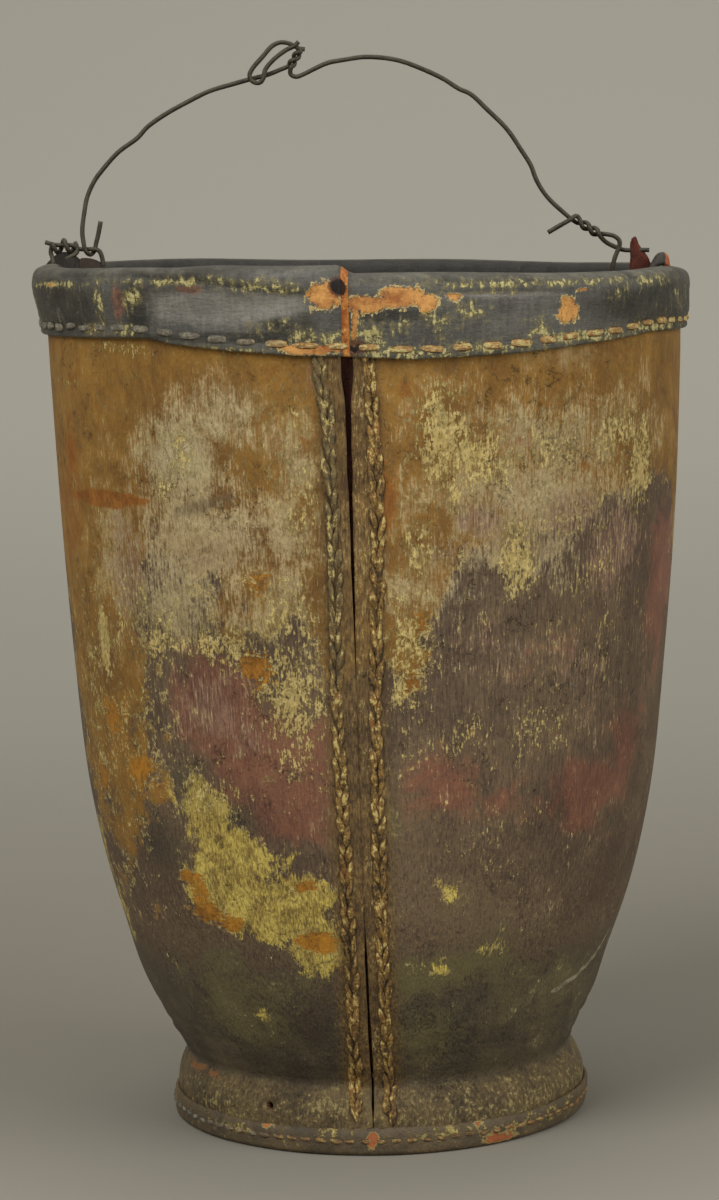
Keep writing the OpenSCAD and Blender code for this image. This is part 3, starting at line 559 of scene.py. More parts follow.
    seam = f.mark("seam")
    strip = f.shades((72, 55, 36), (138, 110, 64),
                     patch * 0.5 + upright * 0.7 + torn * 0.5 + crumb * 0.3, -0.6, 0.6)
    f.coat(strip, seam * 0.85)
    gilt = (upright * 0.5 + torn * 0.7 + patch * 0.4 + f.mark("strip") * 0.2).step(0.45, 0.6)
    f.coat(f.shades((120, 88, 40), (172, 130, 56), crumb, -0.4, 0.5), gilt * seam * 0.8)
    crumbs = upright * 0.6 + crumb * 0.4 + torn * 0.5 + blotch * 0.3 + f.mark("strip") * 0.12
    crumbs = crumbs.step(0.4, 0.5) * seam
    f.coat(f.shades((142, 120, 76), (190, 170, 112), crumb + blotch * 0.4, -0.3, 0.5), crumbs * 0.9)
    # Painted shade in the grooves under the stitch rows
    f.coat((50, 42, 32), f.mark("channel") * 0.4)
    foot = f.mark("foot")
    plinth = f.shades((69, 58, 42), (124, 105, 68),
                      torn * 0.6 + crumb * 0.7 + patch * 0.4 + hatch * 0.3, -0.7, 0.7)
    f.coat(plinth, foot * 0.93)
    foot_crumbs = (f.mark("crumbs") * 0.4 + torn * 0.35 + crumb * 0.8 + lying * 0.3).step(0.42, 0.54)
    f.coat(f.shades((122, 106, 66), (166, 152, 98), crumb, -0.2, 0.6), foot_crumbs * foot * 0.85)
    worn = (f.mark("worn") * 0.8 + patch * 0.4 + torn * 0.4 + crumb * 0.2).step(0.5, 0.6)
    f.coat((134, 86, 44), worn * 0.8)
    blue = (f.mark("blue") * 0.4 + crumb * 0.7 + torn * 0.4).step(0.6, 0.7)
    f.coat((112, 114, 112), blue * 0.8)
    scratch = f.mark("scratch").step(0.6, 0.85) * (hatch + torn * 0.5 + 0.5).step(0.0, 0.5)
    f.coat((168, 158, 130), scratch * 0.75)
    rough = 0.52 + cream * 0.15 + hatch * 0.08 - maroon * 0.08 - char * 0.05
    height = hatch * 0.3 + torn * 0.2 + crumb * 0.15 + cream * 0.3 - bare * 0.2 + stroke * 0.2 + yellow * 0.15
    return f.wear(rough, height - split * 0.4 - alligator * yellow * 0.2, 0.0007)


def bare_hide(name, light, dark, scale=1.0, gloss=0.62, depth=0.0006):
    """Unpainted leather: two browns in clouds, dark pores and a fine grain of cells."""
    f = Finish(name, Specular_IOR_Level=0.35)
    cloud = f.noise(30 * scale, 7, 0.64)
    fine = f.noise(700 * scale, 5, 0.66)
    grain = f.cracks(900 * scale, 0.12)
    f.coat(f.shades(dark, light, cloud * 0.8 + fine * 0.4, -0.5, 0.6))
    f.coat((34, 28, 24), grain * 0.35)
    return f.wear(gloss + fine * 0.08 + cloud * 0.06, cloud * 0.3 + fine * 0.3 - grain * 0.3, depth)


body.data.materials.append(painted_hide())
body.data.materials.append(bare_hide("inner_hide", (104, 88, 70), (64, 54, 44)))
body.data.materials.append(bare_hide("cut_edge", (150, 112, 70), (84, 58, 40), 2.0))
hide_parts("body_shell")
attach(body, "bucket")

# Backing: a strip of leather glued and sewn to the inside of the wall, behind the butt. Only its middle
# shows, dark red-brown in the gap.


def dress(node, material):
    """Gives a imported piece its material, in place of the frame's own."""
    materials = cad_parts[node].data.materials
    materials.clear()
    materials.append(material)


dress("seam_backing", bare_hide("backing_hide", (150, 92, 76), (100, 62, 52)))

# Seam stitches: heavy two-ply waxed thread in two rows beside the butt, laid slanting so that each stitch
# overlaps the next. Old paint sits on their backs in cream and gold, and painted shade darkens the gaps
# between them.
row_foot, row_top = 12.5, 270.5
ply_length, ply_width, ply_apart, ply_lean = 8.6, 1.35, 1.0, 0.75


def threads(name, paths, outward, widths, flat, sides=8):
    """Short fat threads in one mesh: rings round each path, oval by flat, closed to a point at both ends.
    Paths are stitches by points by 3 in metres, and outward is the direction in which each stands proud."""
    lines, points = paths.shape[:2]
    way = np.gradient(paths, axis=1)
    way /= np.linalg.norm(way, axis=-1, keepdims=True)
    side = np.cross(way, outward[:, None])
    side /= np.linalg.norm(side, axis=-1, keepdims=True)
    proud = np.cross(side, way)
    around = np.linspace(0, 2 * np.pi, sides, endpoint=False)[:, None]
    ring = np.cos(around) * side[:, :, None] + flat * np.sin(around) * proud[:, :, None]
    made = paths[:, :, None] + widths[..., None, None] * ring
    corners, shares = quads(points, sides, close_columns=True)
    every = corners[None] + (np.arange(lines) * points * sides)[:, None, None]
    return faced_out(quad_mesh(name, made.reshape(-1, 3), every.reshape(-1, 4),
                               np.tile(shares, (lines, 1, 1))))


def seam_row(name, row, lean, seed):
    """One row: each stitch comes out of the hide, rides over the head of the one below and goes back in. Its
    two plies lie side by side, one half a stitch above the other, so the row looks like an ear of corn."""
    draw = np.random.default_rng(seed)
    number = int(round((row_top - row_foot) / stitch_pitch))
    each = (2 * number, 1)
    side = np.tile([-lean, lean], number)[:, None]
    middle = np.repeat(row_foot + (np.arange(number) + 0.5) * (row_top - row_foot) / number, 2)[:, None]
    middle = middle + side * lean * stitch_pitch / 4 + draw.normal(0, 0.4, each)
    share = np.linspace(-1, 1, 11)
    height = middle + ply_length / 2 * share * draw.uniform(0.8, 1.15, each)
    off = read_off(row, height) + side * (ply_apart + ply_lean * share * draw.uniform(0.3, 1.4, each))
    off = off + draw.normal(0, 0.25, each)
    lift = 0.4 * (1 - share ** 2) * draw.uniform(0.6, 1.3, each) - 0.25 + 0.35 * share
    radius = body_radius(height)
    path = leather_place(np.degrees(off / radius), radius + seam_relief(off, height) + lift, height)
    angle = (off / radius).mean(axis=1)
    outward = np.stack([np.sin(angle), -np.cos(angle), np.zeros(2 * number)], axis=-1)
    width = ply_width * np.clip(1 - np.abs(share) ** 2.4, 0, 1) ** 0.7 * draw.uniform(0.75, 1.15, each) * mm
    return threads(name, path, outward, width, 0.55, 10)


def waxed_thread(name, light, dark, paint, cover, painted_over=(0, 0), greyed_from=(0, 0)):
    """Waxed thread with grooves along it and old paint on its back. It is painted lighter on its back and
    darker in the grooves and underneath, as painted light and shade. It is all painted over left of the first
    of two places along X, and not right of the second. Left of the seam it greys between two heights."""
    f = Finish(name, Specular_IOR_Level=0.3)
    uv = f.node("ShaderNodeTexCoord", {}, {}, "UV")
    around = f.node("ShaderNodeSeparateXYZ", {}, {0: uv}, "Y")
    back = 1 - ((around - 0.25).away() * 3.2).step(0.1, 1.0)
    along = f.node("ShaderNodeVectorMath", {"operation": "MULTIPLY_ADD"},
                   {0: uv, 1: (2.2, 9, 0), 2: f.stretched(120, 120, 120)})
    ply = f.noise(1, 3, 0.6, along)
    fibre = f.noise(1500, 4, 0.7)
    blot = f.noise(150, 4, 0.6)
    fleck = f.noise(480, 6, 0.68)
    along_x = f.node("ShaderNodeSeparateXYZ", {}, {0: f.place}, "X")
    up_z = f.node("ShaderNodeSeparateXYZ", {}, {0: f.place}, "Z")
    # Painted light: the thread's back, which faces out, is lighter
    lit = ply * 0.6 + fibre * 0.5 + blot * 0.5 + fleck * 0.6 + back * 0.5 - 0.35
    f.coat(f.shades(dark, light, lit, -0.5, 0.6))
    f.coat((150, 96, 44), (blot * 0.8 - fleck * 0.4).step(0.12, 0.4) * 0.6)
    if greyed_from[0] < greyed_from[1]:
        grey_part = up_z.step(*greyed_from) * (1 - along_x.step(-0.004, 0.004))
        lit = fibre * 0.3 + ply * 0.7 + fleck * 0.4 + back * 0.5 - 0.2
        f.coat(f.shades((62, 56, 42), (134, 118, 80), lit, -0.5, 0.6), grey_part * 0.7)
    # Painted shade: darker in the grooves and on the side away from the back
    f.coat((48, 41, 30), (ply * 0.5 + fibre * 0.3 - fleck * 0.5 - back * 0.5 + 0.3).step(0.1, 0.4) * 0.85)
    f.coat(paint, (fleck * 0.8 + ply * 0.5 + blot * 0.4 + back * 0.4 + cover - 0.3).step(0.24, 0.36) * 0.85)
    if painted_over[0] < painted_over[1]:
        covered = 1 - (along_x + blot * 0.012).step(*painted_over)
        grey = f.shades((96, 95, 88), (150, 148, 132), fleck + fibre * 0.5, -0.3, 0.7)
        f.coat(grey, covered * 0.88)
    return f.wear(0.68 + fibre * 0.1, ply * 0.4 + fibre * 0.3 + fleck * 0.3, 0.0008)


seam_thread = waxed_thread("seam_thread", (170, 132, 68), (60, 46, 32), (214, 195, 124), 0,
                           greyed_from=(0.12, 0.2))
for name, row, lean, seed in (("seam_stitches_left", row_left, 1, 3),
                              ("seam_stitches_right", row_right, -1, 8)):
    stitches = seam_row(name + "_thread", row, lean, seed)
    stitches.data.materials.append(seam_thread)
    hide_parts(name)
    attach(stitches, "bucket")

# Bottom: a disc of thick leather, moulded wet so that its edge turns down, and sewn inside the foot. It shows
# from above and from below.
dress("bottom_pan", bare_hide("bottom_hide", (108, 90, 70), (64, 53, 43), 0.7))

# Foot binding: a strip folded round the lower edge of the foot, grey-brown with wear. Its upper edge has
# pulled down between the running stitches that hold it, and bare red leather shows where it is rubbed.
binding_up, binding_out, binding_in = 9.4, 72.8, 61.6
foot_stitch_count = 88
binding_profile = [(62.9, 0.1), (71.3, 0.1), (72.5, 0.8), (binding_out, 1.8), (72.85, 6.5),
                   (72.5, binding_up - 0.5), (71.9, binding_up), (71.25, binding_up - 0.3), (71.25, 5.0),
                   (71.2, 1.6), (66.0, 1.5), (62.9, 1.5), (62.9, 7.8), (binding_in, 7.8), (binding_in, 1.4)]
binding_scuffs = {
    "red": [
        (-0.3, 5.5, 1.6, 3, 1.2), (35.8, 3.5, 7, 2.2, 1.3), (29, 8, 2, 1.5, .9), (-118, 4, 8, 2.5, 1.1),
        (150, 4, 6, 2, 1.1), (-30, 8, 3, 2, .7)],
    "pale": [
        (20, 7, 16, 4, 1), (-50, 5, 24, 5, .9), (58, 6, 18, 5, 1), (-15, 8, 12, 3, .8), (120, 6, 30, 5, .9),
        (-150, 6, 30, 5, .9)],
}
binding_angle, along = np.meshgrid(np.arange(0, 360, 0.8), np.arange(len(binding_profile)))
binding_r = np.take([p[0] for p in binding_profile], along)
binding_z = np.take([p[1] for p in binding_profile], along)
upper = ease(5, 9, binding_z) * (binding_r > 66)
tug = np.cos(np.radians(binding_angle) * foot_stitch_count)
wander = np.sin(np.radians(binding_angle) * 5 + 1) + 0.6 * np.sin(np.radians(binding_angle) * 13)
binding_z = binding_z + upper * (0.18 * tug + 0.28 * wander)
binding_r = binding_r + (binding_r > 70) * (0.14 * tug * ease(2, 5, binding_z) + 0.12 * wander)


def grid_mesh(name, points, marks=None, close_rows=False, close_columns=False):
    """Mesh over a grid of points: rows by columns by 3, in metres."""
    return quad_mesh(name, points.reshape(-1, 3), *quads(*points.shape[:2], close_rows, close_columns), marks)


scuffs = {name: zone(binding_angle, binding_z, spots) for name, spots in binding_scuffs.items()}
binding = grid_mesh("foot_binding_strip", leather_place(binding_angle, binding_r, binding_z),
                    scuffs, True, True)
faced_out(binding)


def worn_strip(name, ground, dull, speckle, gloss):
    """Painted strip of leather: mottled ground, pale paint left in crumbs, bare leather where rubbed."""
    f = Finish(name, Specular_IOR_Level=0.45)
    cloud = f.noise(35, 5, 0.6)
    patch = f.noise(120, 8, 0.65)
    fleck = f.noise(420, 8, 0.68)
    grain = f.noise(1500, 3, 0.6)
    f.coat(f.shades(ground, dull, cloud * 0.5 + patch * 0.5 + fleck * 0.4, -0.6, 0.6))
    pale = (f.mark("pale") * 0.55 + patch * 0.35 + fleck * 0.5).step(0.4, 0.52)
    f.coat(f.shades(speckle, (136, 116, 70), grain + fleck * 0.6, -0.3, 0.4), pale * 0.85)
    red_zone = f.mark("red") + patch * 0.3 + fleck * 0.25
    f.coat(speckle, red_zone.step(0.42, 0.48) * 0.6)
    bare = red_zone.step(0.5, 0.56)
    f.coat(f.shades((150, 74, 38), (190, 116, 60), patch, -0.4, 0.4), bare * 0.92)
    height = patch * 0.3 + fleck * 0.25 + grain * 0.1 + pale * 0.3 - bare * 0.2
    return f.wear(gloss + pale * 0.2 + bare * 0.2 + fleck * 0.07, height, 0.0008)


binding_hide = worn_strip("binding_hide", (68, 58, 43), (108, 90, 60), (184, 168, 96), 0.55)
binding.data.materials.append(binding_hide)
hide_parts("foot_binding")
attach(binding, "bucket")


def running_stitches(name, centre_angles, radius, height, length, width, seed, flat=0.7):
    """Running stitches round the bucket: short fat threads lying along the leather, their ends sunk in it."""
    draw = np.random.default_rng(seed)
    number = len(centre_angles)
    each = (number, 1)
    share = np.linspace(-1, 1, 9)
    lengths = length * draw.uniform(0.86, 1.08, each)
    angle = centre_angles[:, None] + np.degrees(lengths / 2 * share / radius) + draw.normal(0, 0.12, each)
    rise = height + draw.normal(0, 0.18, each) + share * draw.normal(0, 0.22, each)
    out = radius + width * flat * (0.7 * (1 - share ** 2) - 0.5)
    path = leather_place(angle, out, rise)
    turn = np.radians(centre_angles)
    outward = np.stack([np.sin(turn), -np.cos(turn), np.zeros(number)], axis=-1)
    widths = width / 2 * np.clip(1 - np.abs(share) ** 4, 0, 1) ** 0.5 * draw.uniform(0.85, 1.1, each) * mm
    return threads(name, path, outward, widths, flat)


foot_thread = waxed_thread("foot_thread", (170, 130, 78), (88, 72, 52), (172, 156, 96),
                           0.05, (-0.062, -0.022))
foot_angles = (np.arange(foot_stitch_count) + 0.5) * 360 / foot_stitch_count
foot_stitches = running_stitches("foot_stitches_thread", foot_angles, binding_out - 0.1, 5.2, 4.4, 1.7, 5)
foot_stitches.data.materials.append(foot_thread)
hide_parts("foot_stitches")
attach(foot_stitches, "bucket")

# Rim band: blue-black leather folded over the hoop, butted at the front like the body, sewn along its edge.
# It has sagged and dried in waves, with a long dent left of the joint and orange leather where it is rubbed.
band_joint = 2.4
roll_middle, roll_radius, band_thick = (107.15, 289.0), 7.0, 2.2
lip_radius, lip_height, hem_radius, hem_height = 111.8, 273.0, 102.5, 279.0
lip_heights = [(-180, 274.5), (-130, 275.2), (-95, 273.2), (-64, 273.2), (-36, 273.4), (-31, 271.8),
               (-20, 270.0), (-9, 268.8), (0, 268.6), (11, 267.6), (30, 269.2), (45, 271.6), (62, 274.3),
               (83, 274.6), (130, 275.6), (180, 274.5)]
rim_paint = {
    "red": [
        (-3.2, 287.5, 2.4, 3.8, 1.25), (3.4, 285.2, 3.4, 2.4, 1.3), (8.7, 287.6, 3.2, 3.3, 1.3),
        (13.2, 285.4, 1.4, 2.3, 1.3), (1.4, 278, 0.5, 9, 1.1), (38.5, 282.6, 1.8, 3.9, 1.2),
        (41.5, 289.4, 2.4, 1.1, 1.0), (18, 287.6, 1.5, 1.1, 1.1), (-5, 271.0, 5.0, 1.5, 1.3),
        (-64, 290.5, 4, 1.2, .7), (122, 284, 4, 3, 1.0), (-138, 283, 4, 3, 1.0), (168, 286, 3, 2, .9)],
    "rust": [
        (-41.5, 285, 1.7, 6.5, 1.0), (-27, 289.4, 3, 1.5, 1.0), (-50, 276, 3, 2, .8),
        (-17, 287, 2.4, 1.2, .6)],
    "pale": [
        (3.5, 275.4, 4.5, 4.2, 1.15), (9, 278.5, 3, 3, .85), (15, 280, 4, 4, 1.0),
        (-4, 274.5, 5.5, 2.4, 1.15), (-13, 278, 3.5, 1.6, 1.15), (-12.5, 284, 1.0, 1.2, 1.1),
        (10, 269.6, 14, 2.6, 1.1), (25, 271, 12, 2.6, 1.1), (42, 273.6, 14, 2.4, 1.1),
        (-46.5, 285, 1.2, 9, 1.15), (-38.5, 287, 2.2, 4, 1.1), (-62, 290.6, 14, 1.3, 1.15),
        (-78, 282, 3, 10, .8), (-50, 276, 4, 2.4, .9), (-41, 276.4, 3, 2.4, 1.1),
        (-28, 291.6, 14, 1.5, 1.15), (-13, 289.8, 9, 1.6, 1.1), (36, 292.4, 24, 2.0, 1.1),
        (20, 291.6, 8, 1.2, 1.1), (60, 292, 14, 2.6, .9), (22, 288.6, 9, .8, .9), (33, 276.5, 3, 4, .9),
        (21, 283.0, 3.5, 4.5, 1.0), (62, 276, 14, 2, 1.1), (38, 282, 1.2, 5, .95), (74, 285, 10, 9, .6),
        (50, 288, 4, 3, .75), (-24, 270.4, 16, 1.2, .9), (120, 282, 12, 6, .8), (-120, 290, 16, 3, .9),
        (175, 279, 16, 4, .8)],
    # dent and facet: pushed in and flattened, and painted lighter there as a painted highlight
    "dent": [
        (-26, 284.0, 8.5, 5.5, 1.3), (-17, 284.5, 6, 3.0, 1.0), (-11, 286, 4, 1.8, .8),
        (-62, 281, 8, 7, .5), (60, 280, 9, 6, .4), (130, 281, 16, 5, .9)],
    "facet": [
        (-10, 293.6, 9, 1.8, .8), (26, 288.0, 11, 1.5, 1.3), (34, 281, 9, 3, .6), (-10, 284, 8, 5, .8),
        (-140, 292, 20, 3, .9)],
    # dark: painted shade where the band turns away at its ends, inside the back of the mouth and along the
    # lip
    "dark": [
        (-66, 283, 16, 8, 1.25), (74, 282, 17, 8, 1.25), (-37.5, 282, 3, 9, 1.0), (7, 281.5, 7, 2.0, 1.1),
        (180, 294, 80, 9, 1.3), (-20, 274, 18, 1.3, 1.1), (-9, 279, 4, 4, .9), (55, 284, 12, 6, .8),
        (140, 285, 30, 8, .8), (-120, 284, 25, 8, .8)],
    # hole: nail holes painted as dark spots, not cut; their black cores are painted shade
    "hole": [(-0.9, 290.2, 1.1, 2.0, 1.6), (1.6, 271.5, 1.4, 2.2, 1.0)],
}


def crease_mark(angle, height):
    """1 along the fold that runs down over the roll to the joint, between the dent and the flat above it."""
    line = read_off([(-42, 294.8), (-34, 293.4), (-24, 291.6), (-12, 289.0), (-4, 288.2)], angle)
    return bump_at(height, line, 0.9) * ease(-44, -36, angle) * (1 - ease(-5, -2, angle))


def outside_of(radius):
    """1 on the band's outer face, 0 on the side towards the mouth."""
    return ease(104, 108, radius)


def sagged(angle, radius, height):
    """Height on the band once its lower edge has sagged or shrunk up."""
    lip_shift = read_off(lip_heights, from_seam(angle)) - lip_height
    return height + lip_shift * (1 - ease(274, 286, height)) * outside_of(radius)


def band_place(angle, radius, height):
    """The band's own waves over the leather's place: its lower edge rises and falls, the roll wanders up and
    down, and a long dent is pushed into the face left of the joint, no deeper than the hoop lets it."""
    turn = np.radians(angle)
    signed_turn = from_seam(angle)
    outside = outside_of(radius)
    crest = ease(287, 294, height)
    ridge = bump_at(height, 276.5, 1.6) * outside
    height = sagged(angle, radius, height)
    dent = 2.0 * np.minimum(1, 1.6 * zone(signed_turn, height, rim_paint["dent"]) ** 1.5)
    flat = 0.7 * zone(signed_turn, height, rim_paint["facet"])
    fold = 0.8 * crease_mark(signed_turn, height)
    step_up = 1.3 * ease(-34, -20, signed_turn) * (1 - ease(-1.5, 0.5, signed_turn))
    step_down = 1.5 * ease(-0.5, 1.5, signed_turn) * (1 - ease(55, 78, signed_turn))
    rise = step_up - step_down + 0.3 * np.sin(turn * 3 + 0.5) + 0.3 * np.sin(turn * 7) - 0.6 * (flat + fold)
    height = height + crest * rise
    radius = radius - np.minimum(2.0, dent + flat + fold) * outside
    radius = radius + 0.25 * np.sin(turn * 6 + height / 4) * ease(275, 282, height)
    knocked_in = 1.2 * bump_at(signed_turn, 88, 40) * ease(280, 288, height) * outside
    return leather_place(angle, radius - 0.4 * ridge - knocked_in, height)


def on_roll(turn, out):
    """Radius and height at an angle round the middle of the rolled rim, that far out from it."""
    return np.stack([roll_middle[0] + out * np.cos(turn), roll_middle[1] + out * np.sin(turn)], -1)


def band_loop(thick):
    """Closed section of the folded band: up the outside from the lip, over the roll, down to the hem, back.
    The roll is flattened on top and has a soft edge at the front, where it has been knocked."""
    lean = math.radians(10)
    reach = roll_radius * math.cos(lean)
    over = np.linspace(-lean, math.pi + lean, 30)
    squared = 1 + 0.1 * bump_at(np.degrees(over), 42, 20)
    outer_roll = on_roll(over, roll_radius * squared)
    inner_roll = on_roll(over[::-1], roll_radius * squared[::-1] - thick)
    lip_low = np.array([[lip_radius - thick, 273.15], [lip_radius - 0.5, lip_height], [lip_radius, 273.6]])
    face = np.linspace([lip_radius + 0.1, 275.2], [roll_middle[0] + reach - 0.05, 286.6], 7)
    hem = np.linspace([roll_middle[0] - reach + 0.1, 286.6], [hem_radius, hem_height + 0.6], 4)
    hem_low = np.array([[hem_radius + 0.4, hem_height], [hem_radius + thick, hem_height]])
    return np.vstack([lip_low, face, outer_roll, hem, hem_low, inner_roll])


def band_piece(name, thick, first, last, step, marks):
    """A length of the band between two angles, closed by a wall at each end."""
    section = band_loop(thick)
    angle = np.linspace(first, last, int(round((last - first) / step)) + 1)
    ends = np.zeros(len(angle))
    ends[[0, -1]] = 1
    turn, along = np.meshgrid(angle, np.arange(len(section)))
    points = band_place(turn, section[along, 0], section[along, 1])
    corners, shares = quads(*turn.shape, close_rows=True)
    middle = (len(section) - 2) // 2
    outside = np.arange(1, middle + 1)
    back = len(section) - outside
    walls = [strip_between(outside * len(angle) + end, back * len(angle) + end)
             for end in (0, len(angle) - 1)]
    corners = np.concatenate([corners, *walls])
    shares = np.concatenate([shares, np.zeros((sum(len(w) for w in walls), 4, 2))])
    signed_turn = from_seam(turn)
    outside = outside_of(section[along, 0])
    height = sagged(turn, section[along, 0], section[along, 1])
    painted = {key: zone(signed_turn, height, spots) * outside for key, spots in marks.items()}
    painted["crest"] = ease(291.5, 294, section[along, 1])
    painted["crease_shade"] = crease_mark(signed_turn, height) * outside
    painted["inward"] = 1 - ease(103.0, 107.0, section[along, 0])
    return faced_out(quad_mesh(name, points.reshape(-1, 3), corners, shares, painted))


joint_turn = math.degrees(band_joint / 2 / lip_radius)
band = band_piece("rim_band_leather", band_thick, joint_turn, 360 - joint_turn, 0.85, rim_paint)


def rim_leather():
    """Blue-black worn leather: grey and smooth on the face, with a painted sheen on the dent and flat facets
    and painted shade at its far ends, at the back of the mouth and along the crease. It is dusty on the
    crest, with crumbs of pale paint along its edges and orange bare leather in the scuffs. Inside the mouth
    it is dark brown."""
    f = Finish("rim_leather", Specular_IOR_Level=0.35)
    cloud = f.noise(28, 5, 0.58)
    patch = f.noise(130, 8, 0.65)
    streak = f.noise(700, 5, 0.68, f.stretched(1, 1, 0.2))
    fleck = f.noise(330, 8, 0.68)
    grain = f.cracks(1100, 0.12)
    lying = f.noise(1100, 4, 0.62, f.stretched(0.2, 0.2, 1))
    crumb = f.noise(900, 5, 0.74) * 1.2
    worn = patch * 0.25 + fleck * 0.45 + streak * 0.3 + crumb * 0.22
    hatch = streak * 0.5 + lying * 0.4 + crumb * 0.3
    f.coat(f.shades((66, 64, 58), (110, 108, 99), cloud * 0.5 + hatch * 0.6 + patch * 0.4, -0.6, 0.7))
    # Painted shade over the dark zones
    band_shade = f.shades((44, 42, 35), (66, 63, 52), hatch + patch, -0.5, 0.5)
    f.coat(band_shade, (f.mark("dark") + cloud * 0.3 + patch * 0.3).step(0.25, 0.65) * 0.93)
    # Painted highlight on the dent and the flat facets
    sheen = f.shades((112, 108, 100), (152, 147, 137), cloud + hatch * 0.7, -0.5, 0.6)
    flat = f.mark("dent") * 0.9 + f.mark("facet") * 0.7 + patch * 0.15 + hatch * 0.12
    f.coat(sheen, flat.step(0.3, 0.85) * 0.9)
    rusty = (f.mark("rust") + patch * 0.3 + hatch * 0.2).step(0.4, 0.75)
    f.coat(f.shades((92, 66, 54), (136, 92, 70), fleck + hatch, -0.4, 0.5), rusty * 0.85)
    dusty = f.shades((58, 55, 45), (106, 102, 88),
                     patch * 0.7 + cloud * 0.6 + fleck * 0.3 + hatch * 0.4, -0.5, 0.7)
    top = f.mark("crest") * (1 - f.mark("facet")) + patch * 0.3 - f.mark("dark") * 0.5
    f.coat(dusty, top.step(0.3, 0.75) * 0.9)
    # Painted shade along the crease over the roll
    f.coat((44, 42, 36), f.mark("crease_shade") * 0.8)
    f.coat(f.shades((104, 96, 60), (140, 128, 84), fleck, -0.3, 0.3),
           (f.mark("pale") * 0.6 + worn).step(0.25, 0.56) * 0.7)
    pale = (f.mark("pale") * 0.62 + worn).step(0.5, 0.58)
    f.coat(f.shades((160, 148, 92), (208, 196, 136), crumb + streak * 0.5, -0.3, 0.5), pale * 0.9)
    scored = (streak * 0.9 + crumb * 0.4 + f.mark("dark") * 0.2 - f.mark("crest") * 0.2).step(0.55, 0.66)
    f.coat((140, 130, 98), scored * 0.6)
    red_zone = f.mark("red") * 0.8 + patch * 0.3 + fleck * 0.25 + streak * 0.2 + crumb * 0.12
    f.coat((206, 182, 118), red_zone.border(0.45, 0.1) * (fleck + crumb).step(-0.3, 0.1))
    bare = red_zone.step(0.45, 0.52)
    bare_tone = f.shades((160, 92, 36), (224, 164, 88),
                         patch * 0.9 + fleck * 0.3 + crumb * 0.25 + cloud * 0.3, -0.6, 0.5)
    f.coat(bare_tone, bare * 0.92)
    f.coat((84, 44, 28), (f.mark("hole") + fleck * 0.4 + patch * 0.3).step(0.25, 0.5) * 0.8)
    # Painted shade: the black core of the nail holes
    f.coat((20, 12, 9), (f.mark("hole") + fleck * 0.35 + patch * 0.2).step(0.55, 0.75) * 0.97)
    f.coat(f.shades((32, 30, 24), (48, 44, 35), patch, -0.4, 0.4), f.mark("inward").step(0.1, 0.7))
    rough = 0.44 + pale * 0.2 + bare * 0.2 + fleck * 0.08 + cloud * 0.06
    height = patch * 0.25 + hatch * 0.3 + fleck * 0.15 - grain * 0.12 + pale * 0.3 - bare * 0.3
    return f.wear(rough, height, 0.0008)


band.data.materials.append(rim_leather())
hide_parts("rim_band")
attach(band, "bucket")

# Hoop: the cane ring inside the rolled rim. The roll hides it, but it gives the rim its section, and it
# follows the band up and down.
cane_radius = 4.5
hoop_turn, hoop_around = np.meshgrid(np.arange(0, 360, 2.0), np.arange(0, 2 * np.pi, np.pi / 8))
hoop_place = band_place(hoop_turn, *np.moveaxis(on_roll(hoop_around, cane_radius), -1, 0))
hoop = faced_out(grid_mesh("cane_hoop", hoop_place, None, True, True))
f = Finish("cane", Specular_IOR_Level=0.4)
pores = f.noise(700, 4, 0.6, f.stretched(1, 1, 0.2))
f.coat(f.shades((150, 118, 74), (196, 164, 112), pores, -0.4, 0.5))
hoop.data.materials.append(f.wear(0.5 + pores * 0.1, pores * 0.3, 0.0004))
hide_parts("rim_hoop")
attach(hoop, "bucket")

# Joint strip: the bare orange leather that shows between the band's two ends, with a nail hole near the top
# that is not cut but painted, its black core as painted shade.
# It is a narrow length of the same folded section, a little thinner, and glued in between them.
strip = band_piece("band_joint_leather", band_thick * 0.72, -joint_turn * 0.98, joint_turn * 0.98, 0.3,
                   {"hole": rim_paint["hole"]})
f = Finish("torn_leather", Specular_IOR_Level=0.3)
fibre = f.noise(900, 5, 0.7, f.stretched(1, 1, 0.3))
blot = f.noise(160, 5, 0.6)
crumb = f.noise(900, 5, 0.74)
f.coat(f.shades((150, 80, 32), (206, 134, 62), blot * 0.7 + fibre * 0.5 + crumb * 0.3, -0.5, 0.5))
f.coat((70, 42, 28), (blot * 0.6 - fibre * 0.6).step(0.16, 0.3))
# Painted shade: the black core of the nail hole
f.coat((24, 14, 10), (f.mark("hole") + blot * 0.3 + crumb * 0.15).step(0.5, 0.75) * 0.95)
f.coat((204, 182, 120), (crumb + blot * 0.5).step(0.36, 0.44))
strip.data.materials.append(f.wear(0.75, (fibre + blot) * 0.4, 0.001))
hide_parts("band_joint_strip")
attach(strip, "bucket")

# Rim stitches: tan waxed thread in long running stitches just above the band's lower edge. They rise and fall
# with it, and go through the band and the hide.
rim_stitch_count = 70
rim_angles = 1.2 + (np.arange(rim_stitch_count) + 0.5) * 360 / rim_stitch_count
rim_lift = read_off(lip_heights, from_seam(rim_angles)) - lip_height
rim_stitches = running_stitches("rim_stitches_thread", rim_angles, lip_radius, (276.3 + rim_lift)[:, None],
                                8.6, 2.4, 11, 0.42)
tan_thread = waxed_thread("rim_thread", (206, 166, 104), (140, 106, 62), (206, 194, 130),
                          0.08, (-0.04, -0.012))
rim_stitches.data.materials.append(tan_thread)
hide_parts("rim_stitches")
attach(rim_stitches, "bucket")

# Ears: on each side two leather straps run up the inner wall and over the roll, where they held the first
# handle. The left pair has dried into a hump. The right pair is torn, to a pointed red tab and a dark stub.


